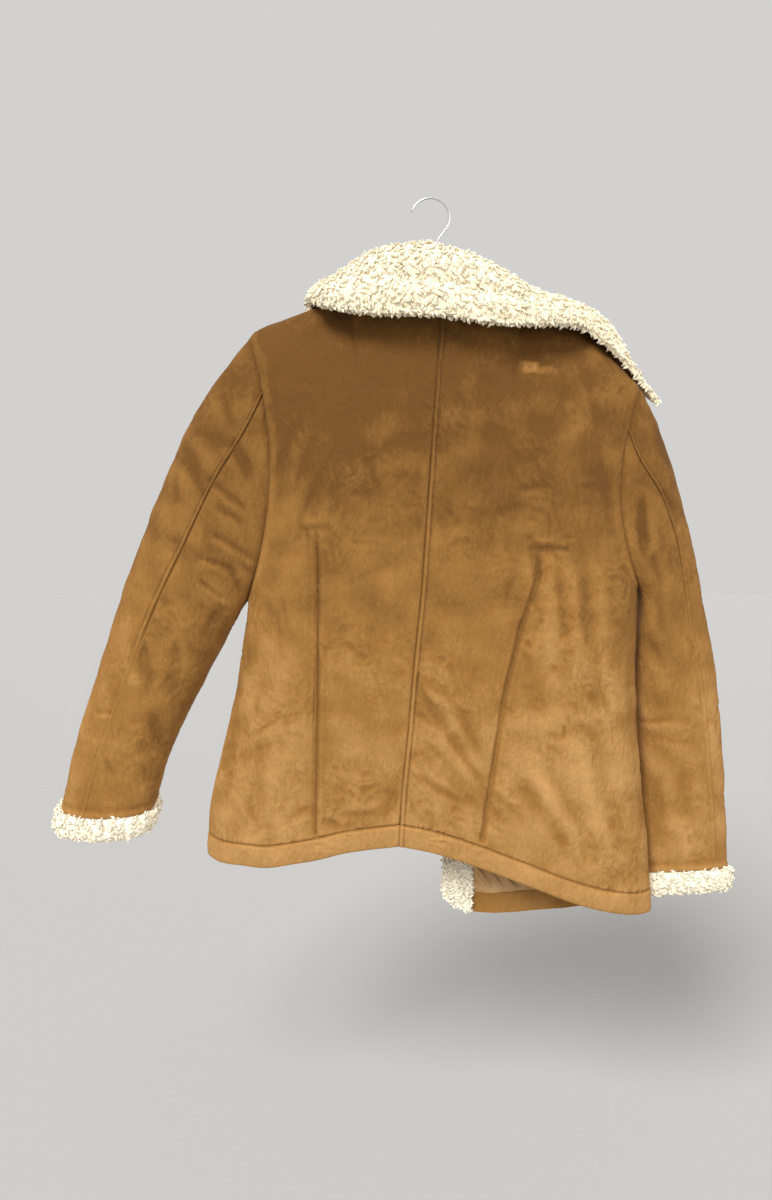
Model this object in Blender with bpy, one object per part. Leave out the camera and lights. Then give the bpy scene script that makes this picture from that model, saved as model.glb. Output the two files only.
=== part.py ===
"""A sherpa-trimmed faux suede jacket, hung open on a thin wire hanger and seen from its back.

Frame, in metres: the origin is the inside top of the hanger's hook, where it bears on what holds it.
+Z is up, +X is the wearer's right, and the jacket's back faces -Y. Every cloth piece is a thin wall whose
outer face is a grid of points: rows run across the piece, columns run along it. Pieces that are sewn
together share the points and the directions of their seam, and each draws back half a gap from it.
"""

import math

import bpy
import numpy as np
from mathutils import kdtree

for old in list(bpy.data.objects):
    bpy.data.objects.remove(old, do_unlink=True)

# Cloth and wire
SUEDE = 0.003          # wall of the bonded suede cloth
PILE = 0.009           # sherpa with its pile, as it reaches
UNDER = 0.002          # the plain under collar
SATIN = 0.001          # lining
SEAM_GAP = 0.0003      # between two pieces at a seam
SAME_POINT = 0.00001   # points this close are one point of a seam
WIRE_R = 0.00125       # the hanger's wire

# Rows and columns of the grids
SKIRT_ROWS = 9         # hem to armpit, the first of them at the hem's stitching
HEM_SHARE = 0.075      # the hem's depth as a share of the way to the armpit
ARM_ROWS = 12          # armpit to shoulder, and each half of a sleeve's ring
SHOULDER_COLS = 7      # side or armhole to neck point
NECK_COLS = 3          # neck point to centre back
EDGE_COLS = 2          # the strip beside a front's roll line
LAPEL_COLS = 6         # roll line to the lapel's outer edge
SLEEVE_ROWS = 12

# The body at each level: share of the way from hem to armpit, then the left edge, the centre back and the
# right edge as seen from behind (x, z), and how far the back and the fronts stand from the hanger's plane.
LEVELS = ("share", "left_x", "left_z", "mid_x", "mid_z", "right_x", "right_z", "back_y", "front_y")
BODY = np.array([
    (0.00, -0.273, -0.764, -0.036, -0.740, 0.270, -0.830, -0.044, 0.028),
    (0.22, -0.267, -0.698, -0.032, -0.672, 0.262, -0.742, -0.049, 0.031),
    (0.42, -0.250, -0.632, -0.025, -0.602, 0.251, -0.655, -0.053, 0.033),
    (0.68, -0.230, -0.548, -0.018, -0.522, 0.243, -0.562, -0.056, 0.036),
    (1.00, -0.214, -0.450, -0.009, -0.434, 0.241, -0.434, -0.057, 0.038),
])
NECK_BACK = (0.013, -0.041, -0.114)      # centre back of the neckline
CHEST_BACK_Y = -0.055
CHEST_FRONT_Y = 0.040
SIDE_Y = -0.008                          # the side seams
SHOULDER_Y = 0.0                         # the shoulder seams, on the hanger

# Hem of the back, under the straight line between a side and the centre: share across and drop.
HEM_BACK = {
    "left": ((0.0, 0.0), (0.08, 0.006), (0.20, 0.009), (0.33, 0.013), (0.46, 0.011), (0.60, 0.008),
             (0.72, 0.003), (0.85, 0.001), (1.0, 0.0)),
    "right": ((0.0, 0.0), (0.07, 0.005), (0.17, 0.008), (0.30, 0.008), (0.48, 0.003), (0.62, -0.001),
              (0.77, -0.004), (0.88, -0.004), (1.0, 0.0)),
}
HEM_FRONT = {
    "left": ((0.0, 0.0), (0.3, 0.004), (0.7, 0.004), (1.0, 0.0)),
    "right": ((0.0, 0.0), (0.3, 0.009), (0.6, 0.014), (0.85, 0.014), (1.0, 0.004)),
}

# Shoulder seams from the tip to the neck point: x, z.
SHOULDER = {
    "left": ((-0.205, -0.149), (-0.193, -0.1385), (-0.168, -0.1290), (-0.141, -0.1195), (-0.086, -0.1010)),
    "right": ((0.236, -0.209), (0.218, -0.1880), (0.199, -0.1675), (0.176, -0.1485), (0.101, -0.1130)),
}
NECK_SHARE = {"left": 0.55, "right": 0.60}   # where the neck point's column runs, from side to centre

# Roll line and front edge of each front, hem to armpit and the top, as seen from behind: x, z.
ROLL = {
    "left": ((-0.084, -0.764), (-0.076, -0.698), (-0.069, -0.630), (-0.064, -0.550), (-0.061, -0.450),
             (-0.074, -0.160)),
    "right": ((0.028, -0.842), (0.031, -0.760), (0.036, -0.675), (0.042, -0.580), (0.050, -0.462),
              (0.097, -0.172)),
}
ROLL_Y = {"left": 0.038, "right": 0.040}     # the roll line's top
STRIP_SHARE = 0.90                           # the facing's inner edge, from side to roll line
EDGE_WIDTH = 0.012                           # roll line to front edge below the break
LAPEL_WIDTH = 0.112                          # roll line to the lapel's point
LAPEL_DROP = {"left": 0.22, "right": 0.42}   # how far the lapel's top edge falls on its way out
ROLL_R = 0.0055                              # how tightly the lapel turns
BREAK_BELOW = 0.045                          # the turn starts this far below the break
BREAK_ABOVE = 0.085                          # and ends this far above it

# Sleeves: share of the length, outer edge (x, z), inner edge (x, z), middle y, half depth, how far the ring
# bows towards the body, and how far its near side drops for each metre of depth.
SLEEVE = {
    "left": np.array([
        (0.00, -0.205, -0.149, -0.214, -0.450, -0.003, 0.034, 0.028, 0.00),
        (0.12, -0.262, -0.222, -0.223, -0.462, -0.005, 0.040, 0.004, 0.00),
        (0.25, -0.313, -0.323, -0.235, -0.481, -0.006, 0.043, 0.000, 0.00),
        (0.40, -0.355, -0.421, -0.250, -0.511, -0.007, 0.041, 0.000, 0.00),
        (0.58, -0.394, -0.527, -0.283, -0.571, -0.008, 0.037, 0.000, 0.05),
        (0.78, -0.428, -0.624, -0.315, -0.638, -0.010, 0.034, 0.000, 0.15),
        (1.00, -0.449, -0.701, -0.335, -0.700, -0.011, 0.032, 0.000, 0.30),
    ]),
    "right": np.array([
        (0.00, 0.236, -0.209, 0.241, -0.434, -0.003, 0.034, -0.025, 0.00),
        (0.10, 0.264, -0.262, 0.249, -0.448, 0.003, 0.038, -0.004, 0.00),
        (0.21, 0.285, -0.320, 0.253, -0.471, 0.009, 0.039, 0.000, 0.00),
        (0.33, 0.305, -0.385, 0.253, -0.504, 0.012, 0.037, 0.000, 0.00),
        (0.47, 0.324, -0.458, 0.256, -0.552, 0.018, 0.034, 0.000, -0.05),
        (0.62, 0.343, -0.545, 0.259, -0.612, 0.022, 0.032, 0.000, -0.12),
        (0.81, 0.358, -0.665, 0.261, -0.702, 0.025, 0.030, 0.000, -0.22),
        (1.00, 0.369, -0.789, 0.263, -0.797, 0.027, 0.028, 0.000, -0.30),
    ]),
}
SLEEVE_BACK_SEAM = 5       # columns from the outer edge, of ARM_ROWS to the inner edge
SLEEVE_FRONT_SEAM = 8
RING_SQUARE = 0.65         # 1 for an ellipse, less for a squarer ring
CUFF_HEIGHT = 0.029
CUFF_GAP = 0.0003
# The cuff's rounded section: distance out from the sleeve's last ring, and along the sleeve as a share.
CUFF_SECTION = np.array([(-0.0030, 0.01), (0.0010, 0.00), (0.0052, 0.11), (0.0066, 0.39), (0.0062, 0.74),
                         (0.0025, 1.00), (-0.0020, 0.96), (-0.0036, 0.53)])

# The collar's stations from the left front end, round the back, to the right front end: the roll, the
# middle of the fall and the fall's edge. The neckline itself is the panels' own.
COLLAR = {
    "roll": ((-0.066, 0.056, -0.140), (-0.084, 0.034, -0.112), (-0.094, 0.004, -0.091),
             (-0.086, -0.032, -0.088), (-0.052, -0.049, -0.070), (0.004, -0.054, -0.067),
             (0.062, -0.049, -0.085), (0.099, -0.030, -0.100), (0.109, 0.004, -0.104),
             (0.106, 0.034, -0.120), (0.094, 0.058, -0.148)),
    "fall": ((-0.108, 0.068, -0.142), (-0.122, 0.042, -0.112), (-0.124, 0.002, -0.097),
             (-0.108, -0.050, -0.103), (-0.060, -0.067, -0.102), (0.006, -0.071, -0.102),
             (0.074, -0.068, -0.115), (0.128, -0.048, -0.123), (0.158, -0.018, -0.122),
             (0.192, 0.014, -0.137), (0.188, 0.046, -0.173)),
    "edge": ((-0.150, 0.062, -0.162), (-0.138, 0.034, -0.142), (-0.134, -0.006, -0.1095),
             (-0.116, -0.050, -0.122), (-0.063, -0.069, -0.134), (0.007, -0.073, -0.137),
             (0.077, -0.072, -0.147), (0.133, -0.056, -0.146), (0.169, -0.034, -0.149),
             (0.216, -0.014, -0.183), (0.258, -0.002, -0.228)),
}
NECK_STATIONS = (0.0, 0.2, 0.3, 0.4, 0.5, 0.6, 0.7, 0.8, 1.0)   # the neckline's points along the collar
COLLAR_COLS = 30
COLLAR_ROWS = 10

# Largest folds of the back: from x, z to x, z, half width and depth, a trough being positive.
FOLDS = np.array([
    (-0.135, -0.215, -0.176, -0.335, 0.014, 0.0040),
    (-0.129, -0.370, -0.135, -0.745, 0.008, 0.0025),
    (0.121, -0.385, 0.061, -0.745, 0.008, 0.0025),
    (0.165, -0.440, 0.172, -0.640, 0.016, -0.0030),
    (-0.010, -0.560, 0.080, -0.660, 0.012, 0.0025),
])

# Hanger. Heights and distances of the shoulder wire are from its apex, before the hanger's tilt.
HOOK_R = 0.0215
APEX = (0.004, 0.0, -0.0790)
HANGER_TILT = math.radians(2.9)
CORNER_R = 0.010
KNEE = (0.030, -0.020)        # where each shoulder of the wire bends
TIP = (0.2325, -0.0867)       # where each shoulder's line would meet the bar's
HOOK_ARC = (163, -42)         # from the hook's tip to its shank, in degrees from +X
TWIST_R = 0.0024
TWIST_TOP = 0.022             # the twisted neck, from the apex
TWIST_END = -0.0004


# --------------------------------------------------------------------------- curves and grids
def smooth(rows, at):
    """Passes a smooth curve through a table whose first column is the place along it."""
    rows = np.asarray(rows, float)
    t, values = rows[:, 0], rows[:, 1:]
    step = np.diff(t)[:, None]
    rise = np.diff(values, axis=0) / step
    slope = np.vstack([rise[:1], (rise[1:] * step[:-1] + rise[:-1] * step[1:]) / (step[1:] + step[:-1]),
                       rise[-1:]])
    at = np.atleast_1d(at)
    i = np.clip(np.searchsorted(t, at, side="right") - 1, 0, len(t) - 2)
    h = (t[i + 1] - t[i])[:, None]
    s = ((at - t[i])[:, None]) / h
    return ((1 + 2 * s) * (1 - s) ** 2 * values[i] + s * (1 - s) ** 2 * h * slope[i]
            + s * s * (3 - 2 * s) * values[i + 1] + s * s * (s - 1) * h * slope[i + 1])


def evenly(points, at):
    """The same curve through points that are evenly spaced along it."""
    points = np.asarray(points, float)
    return smooth(np.column_stack([np.linspace(0, 1, len(points)), points]), at)


def unit(vectors):
    return vectors / np.maximum(np.linalg.norm(vectors, axis=-1, keepdims=True), 1e-12)


def face_normals(grid, sign, ring=False):
    """Direction out of a grid's face at each of its points; a ring's last column meets its first."""
    if ring:
        along = np.roll(grid, -1, axis=1) - np.roll(grid, 1, axis=1)
    else:
        along = np.gradient(grid, axis=1)
    return sign * unit(np.cross(along, np.gradient(grid, axis=0)))


def share_seams(groups):
    """Points that several pieces share get one direction, so that their walls meet without crossing.

    The pieces of one group count together, so that at the armpit the body and the sleeve weigh the same."""
    pieces = [piece for group in groups for piece in group]
    tree = kdtree.KDTree(sum(piece["grid"].size // 3 for piece in pieces))
    owner, normals = [], []
    for number, group in enumerate(groups):
        for piece in group:
            for point, normal in zip(piece["grid"].reshape(-1, 3), piece["normals"].reshape(-1, 3)):
                tree.insert(point, len(owner))
                owner.append(number)
                normals.append(normal)
    tree.balance()
    owner, normals = np.array(owner), np.array(normals)
    for piece in pieces:
        shared = []
        for point in piece["grid"].reshape(-1, 3):
            found = np.array([index for _, index, _ in tree.find_range(point, SAME_POINT)])
            shared.append(sum(unit(normals[found[owner[found] == k]].sum(axis=0)) for k in set(owner[found])))
        piece["normals"] = unit(np.array(shared)).reshape(piece["grid"].shape)


def draw_back(grid, gap=SEAM_GAP / 2):
    """Moves a grid's four edges inwards by half a seam's gap."""
    grid = grid.copy()
    for edge, inner in ((0, 1), (-1, -2)):
        grid[edge] += unit(grid[inner] - grid[edge]) * gap
        grid[:, edge] += unit(grid[:, inner] - grid[:, edge]) * gap
    return grid


def material(name, colour, roughness, metallic=0.0):
    made = bpy.data.materials.new(name)
    made.use_nodes = True
    shader = made.node_tree.nodes["Principled BSDF"]
    shader.inputs["Base Color"].default_value = (*colour, 1.0)
    shader.inputs["Roughness"].default_value = roughness
    shader.inputs["Metallic"].default_value = metallic
    return made


def add_object(name, points, faces, made):
    mesh = bpy.data.meshes.new(name)
    mesh.from_pydata([tuple(p) for p in points], [], [tuple(f) for f in faces])
    mesh.materials.append(made)
    mesh.shade_smooth()
    mesh.set_sharp_from_angle(angle=math.radians(40))
    bpy.context.scene.collection.objects.link(bpy.data.objects.new(name, mesh))


def wall(name, piece, made, depth, first=0.0):
    """A wall between two offsets inward of the piece's face, closed round its four edges.

    Walls that lie on or against each other split their faces along the same diagonals, so that a warped
    face of one doesn't cut its neighbour: on an edge, the diagonal leaves the outer face's point that lies
    further along one fixed direction."""
    outer = draw_back(piece["grid"] - piece["normals"] * first)
    inner = draw_back(piece["grid"] - piece["normals"] * (first + depth))
    rows, cols = outer.shape[:2]
    number = np.arange(rows * cols).reshape(rows, cols)
    a, b, c, d = (number[:-1, :-1], number[:-1, 1:], number[1:, 1:], number[1:, :-1])
    face = np.concatenate([np.stack([a, b, c], axis=-1).reshape(-1, 3),
                           np.stack([a, c, d], axis=-1).reshape(-1, 3)])
    back = face[:, ::-1] + rows * cols
    rim = np.concatenate([number[0, :], number[1:, -1], number[-1, -2::-1], number[-2:0:-1, 0]])
    after = np.roll(rim, -1)
    points = np.concatenate([outer.reshape(-1, 3), inner.reshape(-1, 3)])
    reach = points[: rows * cols] @ np.array((0.31, 0.57, 1.0))
    low, low_after = rim + rows * cols, after + rows * cols
    near = (reach[rim] > reach[after])[:, None]
    side = np.concatenate([
        np.where(near, np.stack([after, rim, low_after], axis=-1), np.stack([after, rim, low], axis=-1)),
        np.where(near, np.stack([rim, low, low_after], axis=-1), np.stack([after, low, low_after], axis=-1)),
    ])
    faces = np.concatenate([face, back, side])
    if piece["sign"] < 0:
        faces = faces[:, ::-1]
    add_object(name, points, faces, made)


def tube(name, path, radii, made, sides=8, closed=False):
    """A wire along a path; its ring turns as little as it can from one point to the next."""
    path = np.asarray(path, float)
    if closed:
        tangent = unit(np.roll(path, -1, axis=0) - np.roll(path, 1, axis=0))
    else:
        tangent = unit(np.gradient(path, axis=0))
    across = np.cross(tangent, (0.0, 1.0, 0.0))
    across = unit(across)
    other = np.cross(tangent, across)
    angle = np.linspace(0, 2 * math.pi, sides, endpoint=False)[None, :, None]
    radii = np.broadcast_to(radii, len(path))[:, None, None]
    rings = path[:, None] + radii * (np.cos(angle) * across[:, None] + np.sin(angle) * other[:, None])
    count = len(path)
    number = np.arange(count * sides).reshape(count, sides)
    if closed:
        number = np.vstack([number, number[:1]])
    a, b = number[:-1], np.roll(number, -1, axis=1)[:-1]
    c, d = np.roll(number, -1, axis=1)[1:], number[1:]
    faces = [list(f) for f in np.stack([a, b, c, d], axis=-1).reshape(-1, 4)]
    if not closed:
        faces += [list(number[0][::-1]), list(number[-1])]
    add_object(name, rings.reshape(-1, 3), faces, made)


def arc(centre, radius, start, end, count):
    """Points on a circle in the hanger's plane, from one angle to another, in degrees from +X."""
    angle = np.radians(np.linspace(start, end, count))
    return np.stack([centre[0] + radius * np.cos(angle), np.zeros(count), centre[1] + radius * np.sin(angle)],
                    axis=-1)


# --------------------------------------------------------------------------- the body's grids
def armhole(side, front):
    """Half of the armhole, from the shoulder tip to the armpit, on the back or the front."""
    return sleeve_ring(side, 0.0, np.linspace(0, math.pi, ARM_ROWS + 1), front)


def sleeve_ring(side, share, theta, front=False):
    """Points of a sleeve's ring: angle 0 is its outer edge, a half turn its inner edge.

    The ring is an ellipse between the two edges, squared a little, bowed towards the body."""
    row = dict(zip(("outer_x", "outer_z", "inner_x", "inner_z", "y", "half", "bow", "drop"),
                   smooth(SLEEVE[side], share)[0]))
    across = (1 - np.cos(theta)) / 2
    sine = np.abs(np.sin(theta))
    towards = np.where(np.asarray(front), 1.0, -1.0)
    depth = towards * row["half"] * sine ** RING_SQUARE
    return np.stack([
        row["outer_x"] + (row["inner_x"] - row["outer_x"]) * across + row["bow"] * sine ** 2,
        row["y"] + depth,
        row["outer_z"] + (row["inner_z"] - row["outer_z"]) * across + row["drop"] * depth,
    ], axis=-1)


def fold_relief(x, z):
    """How far the largest folds move the back's face, as soft troughs that fade out at their ends."""
    total = np.zeros_like(x)
    for x0, z0, x1, z1, width, depth in FOLDS:
        run = np.array((x1 - x0, z1 - z0))
        length = np.hypot(*run)
        along = ((x - x0) * run[0] + (z - z0) * run[1]) / length ** 2
        off = ((x - x0) * run[1] - (z - z0) * run[0]) / length
        fade = np.clip(1 - np.abs(2 * along - 1) ** 4, 0, 1)
        total += depth * fade * np.exp(-(off / width) ** 2)
    return total


def level_values(side, shares):
    """The body's edge, centre and depths at shares of the way from hem to armpit."""
    rows = dict(zip(LEVELS[1:], smooth(BODY, shares).T))
    edge = np.stack([rows[f"{side}_x"], rows[f"{side}_z"]], axis=-1)
    return edge, np.stack([rows["mid_x"], rows["mid_z"]], axis=-1), rows["back_y"], rows["front_y"]


def side_turn(across, softness):
    """How the face leaves the side: a quarter ellipse below the armpit, softer beside an armhole."""
    s = np.clip(across / 0.42, 0, 1)
    return (1 - (1 - s) ** 2) ** softness


def panel_grid(side, front):
    """A back or a front panel: rows from hem to shoulder, columns from the side to the middle.

    Below the armpit a row runs straight between its two edges, plus the hem's own curve. Above it the
    rows turn by equal angles round the armhole, plus the curve of the shoulder seam and the neckline."""
    neck = NECK_SHARE[side]
    near = neck * (1 - np.cos(np.linspace(0, math.pi / 2, SHOULDER_COLS + 1)))
    far = (STRIP_SHARE, 1.0) if front else np.linspace(neck, 1, NECK_COLS + 1)[1:]
    across = np.concatenate([near, far])

    shares = np.concatenate([[0.0], np.linspace(HEM_SHARE, 1, SKIRT_ROWS)[:-1]])
    edge, middle, back_y, front_y = level_values(side, shares)
    theta = np.linspace(math.pi, 0, ARM_ROWS + 1)
    rise = 1 - theta / math.pi
    arm = armhole(side, front)[::-1]
    edge = np.vstack([edge, arm[:, ::2]])
    pit = level_values(side, np.array([1.0]))
    if front:
        roll = np.array(ROLL[side])
        below = smooth(np.column_stack([BODY[:, 0], roll[:-1]]), shares)
        above = roll[-2] + (roll[-1] - roll[-2]) * rise[:, None]
        middle = np.vstack([below, above])
        depth = np.concatenate([front_y, smooth(((0, pit[3][0]), (0.5, CHEST_FRONT_Y), (1, ROLL_Y[side])),
                                                rise)[:, 0]])
    else:
        top = np.array((NECK_BACK[0], NECK_BACK[2]))
        above = pit[1][0] + (top - pit[1][0]) * rise[:, None]
        middle = np.vstack([middle, above])
        depth = np.concatenate([back_y, smooth(((0, pit[2][0]), (0.5, CHEST_BACK_Y), (1, CHEST_BACK_Y)),
                                               rise)[:, 0]])

    flat = edge[:, None] + (middle - edge)[:, None] * across[None, :, None]
    hem = smooth((HEM_FRONT if front else HEM_BACK)[side], across)[:, 0]
    fade = np.concatenate([np.clip(1 - shares / 0.7, 0, 1) ** 2, np.zeros(ARM_ROWS + 1)])
    flat[..., 1] -= fade[:, None] * hem[None]

    # the top edge: the shoulder seam, then the neckline to the middle
    seam = evenly(SHOULDER[side], near / NECK_SHARE[side])
    t = (across[SHOULDER_COLS + 1:] - NECK_SHARE[side]) / (1 - NECK_SHARE[side])
    neck_x = seam[-1, 0] + (middle[-1, 0] - seam[-1, 0]) * t
    if front:
        neck_z = seam[-1, 1] + (middle[-1, 1] - seam[-1, 1]) * t ** 0.9
        neck_y = SHOULDER_Y + (ROLL_Y[side] - SHOULDER_Y) * np.sin(t * math.pi / 2)
    else:
        neck_z = seam[-1, 1] + (middle[-1, 1] - seam[-1, 1]) * np.sin(t * math.pi / 2)
        neck_y = SHOULDER_Y + (NECK_BACK[1] - SHOULDER_Y) * np.sqrt(1 - (1 - t) ** 2)
    top = np.vstack([seam, np.column_stack([neck_x, neck_z])])
    top_y = np.concatenate([np.full(SHOULDER_COLS + 1, SHOULDER_Y), neck_y])
    top_y[0] = arm[-1, 1]
    chord = flat[-1].copy()
    lift = np.concatenate([np.zeros(SKIRT_ROWS), rise ** 2.2])
    flat += lift[:, None, None] * (top - chord)[None]

    # depth: out from the side, then in again over the shoulder
    softness = np.concatenate([np.full(SKIRT_ROWS, 0.5), 0.5 + 0.4 * np.clip(rise * 4, 0, 1)])
    out = side_turn(across[None], softness[:, None])
    edge_y = np.concatenate([np.full(SKIRT_ROWS, SIDE_Y), arm[:, 1]])
    edge_y[:SKIRT_ROWS] += (arm[0, 1] - SIDE_Y) * shares
    over = np.concatenate([np.ones(SKIRT_ROWS), np.cos(np.clip((rise - 0.45) / 0.55, 0, 1) * math.pi / 2)
                           ** 0.6])[:, None]
    full = top_y[None] + (depth[:, None] - top_y[None]) * over
    y = edge_y[:, None] * (1 - out) + full * out
    if not front:
        y = y + fold_relief(flat[..., 0], flat[..., 1]) * np.minimum(over, out)
    return np.stack([flat[..., 0], y, flat[..., 1]], axis=-1)


def with_lapel(grid, side):
    """Adds the strip beyond a front's roll line: the front edge below the break, the turned lapel above.

    A point at a distance from the roll line goes round an arc and on in a straight line, then eases back
    towards the front. The lapel widens from the break to its top edge."""
    towards = 1.0 if side == "left" else -1.0
    roll = grid[:, -1]
    above = roll[:, 2] - ROLL[side][-2][1]
    rise = np.clip(above / (ROLL[side][-1][1] - ROLL[side][-2][1]), 0, 1)
    turn = np.clip((above + BREAK_BELOW) / (BREAK_ABOVE + BREAK_BELOW), 0, 1)
    turn = math.pi * turn ** 2 * (3 - 2 * turn)
    width = EDGE_WIDTH + (LAPEL_WIDTH - EDGE_WIDTH) * rise ** 0.8
    ahead = unit(np.stack([np.full_like(rise, towards), np.zeros_like(rise), LAPEL_DROP[side] * rise], axis=-1))
    out = np.array((0.0, 1.0, 0.0))
    added = []
    for share in np.linspace(0, 1, LAPEL_COLS + 1)[1:]:
        early = np.minimum(ROLL_R * turn, 0.6 * width)
        early = np.maximum(early, 0.4 * width * (1 - turn / math.pi))
        distance = np.where(share < 0.5, early * share * 2, early + (width - early) * (share * 2 - 1))
        angle = np.minimum(distance / ROLL_R, turn)
        rest = np.maximum(distance - ROLL_R * turn, 0)
        run = ROLL_R * np.sin(angle) + rest * np.cos(turn)
        height = ROLL_R * (1 - np.cos(angle)) + rest * np.sin(turn)
        ease = 0.9 * rest ** 2 * turn / math.pi
        added.append(roll + ahead * run[:, None] + out * (height - ease)[:, None])
    return np.concatenate([grid, np.stack(added, axis=1)], axis=1)


def collar_piece(necks):
    """The collar from the panels' neckline up over the roll and down the fall to its edge.

    Each column is a smooth curve through the neckline, half way up the stand, the roll, the middle of the
    fall and the edge. The stand starts level, inside the neckline by the under collar's thickness."""
    shares = np.linspace(0, 1, COLLAR_COLS + 1)
    neck = np.stack([np.interp(shares, NECK_STATIONS, necks[:, k]) for k in range(3)], axis=-1)
    run = np.gradient(neck, axis=0)
    inwards = unit(np.stack([-run[:, 1], run[:, 0], np.zeros(len(run))], axis=-1))
    neck = neck + inwards * (UNDER + SEAM_GAP)
    roll, fall, edge = (evenly(COLLAR[name], shares) for name in ("roll", "fall", "edge"))
    marks = np.array((0.0, 0.16, 0.34, 0.66, 1.0))
    through = np.stack([neck, neck * 0.55 + roll * 0.45, roll, fall, edge])
    flat = smooth(np.column_stack([marks, through.reshape(len(marks), -1)]),
                  np.linspace(0, 1, COLLAR_ROWS + 1))
    made = make_piece(flat.reshape(COLLAR_ROWS + 1, COLLAR_COLS + 1, 3), -1)
    made["normals"][0] = inwards
    return made


def cuff(name, side, made):
    """A sherpa band round a sleeve's end: a rounded section carried round the sleeve's last ring."""
    sleeve = pieces[f"sleeve_{side}"]
    ring, normals = sleeve["grid"][-1], sleeve["normals"][-1]
    along = unit((ring - sleeve["grid"][-2]).mean(axis=0))
    normals = unit(normals - along * (normals @ along)[:, None])
    out, height = CUFF_SECTION[:, :1], CUFF_SECTION[:, 1:] * CUFF_HEIGHT + CUFF_GAP
    points = ring[:, None] + normals[:, None] * out[None] + along * height[None]
    count, sides = points.shape[:2]
    number = np.arange(count * sides).reshape(count, sides)
    a, b = number, np.roll(number, -1, axis=1)
    c, d = np.roll(b, -1, axis=0), np.roll(number, -1, axis=0)
    faces = np.stack([a, b, c, d], axis=-1).reshape(-1, 4)
    if side == "right":
        faces = faces[:, ::-1]
    add_object(name, points.reshape(-1, 3), faces, made)


def tilted(points):
    """Turns points given from the hanger's apex by the hanger's tilt."""
    x, z = np.asarray(points, float).T
    cos, sin = math.cos(HANGER_TILT), math.sin(HANGER_TILT)
    return np.stack([APEX[0] + x * cos + z * sin, np.zeros_like(x), APEX[2] - x * sin + z * cos], axis=-1)


def rounded(corners, radius, count=5):
    """A closed line with each of its corners turned round an arc."""
    corners = np.asarray(corners, float)
    points = []
    for before, here, after in zip(np.roll(corners, 1, axis=0), corners, np.roll(corners, -1, axis=0)):
        back, ahead = unit(before - here), unit(after - here)
        half = math.acos(float(np.clip(back @ ahead, -1, 1))) / 2
        start, end = here + back * radius / math.tan(half), here + ahead * radius / math.tan(half)
        middle = here + unit(back + ahead) * radius / math.sin(half)
        for share in np.linspace(0, 1, count):
            points.append(middle + unit(start + (end - start) * share - middle) * radius)
    return np.array(points)


def make_piece(grid, sign, ring=False):
    return {"grid": grid, "sign": sign, "normals": face_normals(grid, sign, ring)}


def cut(piece, rows=slice(None), cols=slice(None)):
    return {"grid": piece["grid"][rows, cols], "sign": piece["sign"], "normals": piece["normals"][rows, cols]}


# --------------------------------------------------------------------------- materials
suede = material("suede", (0.34, 0.16, 0.052), 0.85)
sherpa = material("sherpa", (0.83, 0.74, 0.58), 0.95)
satin = material("satin", (0.52, 0.37, 0.21), 0.35)
wire = material("wire", (0.75, 0.75, 0.74), 0.3, 1.0)

# --------------------------------------------------------------------------- panels and sleeves
pieces = {}
for side, sign in (("left", 1), ("right", -1)):
    pieces[f"back_{side}"] = make_piece(panel_grid(side, front=False), sign)
    pieces[f"front_{side}"] = make_piece(with_lapel(panel_grid(side, front=True), side), -sign)
    half = np.linspace(0, math.pi, ARM_ROWS + 1)
    rings = []
    for share in np.linspace(0, 1, SLEEVE_ROWS + 1):
        back = sleeve_ring(side, share, half, front=False)
        front = sleeve_ring(side, share, half, front=True)
        rings.append(np.concatenate([back, front[-2:0:-1]]))
    pieces[f"sleeve_{side}"] = make_piece(np.array(rings), -sign, ring=True)

body = [pieces[f"{name}_{side}"] for name in ("back", "front") for side in ("left", "right")]
share_seams([body, [pieces["sleeve_left"], pieces["sleeve_right"]]])

for side in ("left", "right"):
    wall(f"back_{side}", pieces[f"back_{side}"], suede, SUEDE)
    front = pieces[f"front_{side}"]
    wall(f"front_{side}", front, suede, SUEDE)
    strip = SHOULDER_COLS + EDGE_COLS - 1
    wall(f"facing_{side}", cut(front, cols=slice(strip, None)), sherpa, PILE, first=SUEDE + SEAM_GAP)

    sleeve = pieces[f"sleeve_{side}"]
    turns = 2 * ARM_ROWS
    under = np.arange(SLEEVE_BACK_SEAM, turns - SLEEVE_FRONT_SEAM + 1)
    top = np.arange(turns - SLEEVE_FRONT_SEAM, turns + SLEEVE_BACK_SEAM + 1) % turns
    wall(f"sleeve_{side}_under", cut(sleeve, cols=under), suede, SUEDE)
    wall(f"sleeve_{side}_top", cut(sleeve, cols=top), suede, SUEDE)
    cuff(f"cuff_{side}", side, sherpa)

# --------------------------------------------------------------------------- lining, hem facing and collar
front = pieces["front_right"]
inside = slice(1, SHOULDER_COLS + EDGE_COLS)
wall("hem_facing_right", cut(front, rows=slice(0, 2), cols=inside), suede, UNDER, first=SUEDE + SEAM_GAP)
wall("lining_right", cut(front, rows=slice(1, SKIRT_ROWS + 1), cols=inside), satin, SATIN,
     first=SUEDE + SEAM_GAP)

back_neck = slice(SHOULDER_COLS, SHOULDER_COLS + NECK_COLS + 1)
strip = SHOULDER_COLS + EDGE_COLS - 1
necks = np.concatenate([
    pieces["front_left"]["grid"][-1, strip][None],
    pieces["back_left"]["grid"][-1, back_neck],
    pieces["back_right"]["grid"][-1, back_neck][-2::-1],
    pieces["front_right"]["grid"][-1, strip][None],
]) + np.array((0.0, 0.0, 2 * SEAM_GAP))
turned = collar_piece(necks)
lifted = {"grid": turned["grid"] + turned["normals"] * PILE, "sign": -1, "normals": turned["normals"]}
wall("collar", lifted, sherpa, PILE)
wall("under_collar", turned, suede, UNDER, first=SEAM_GAP)

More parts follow.
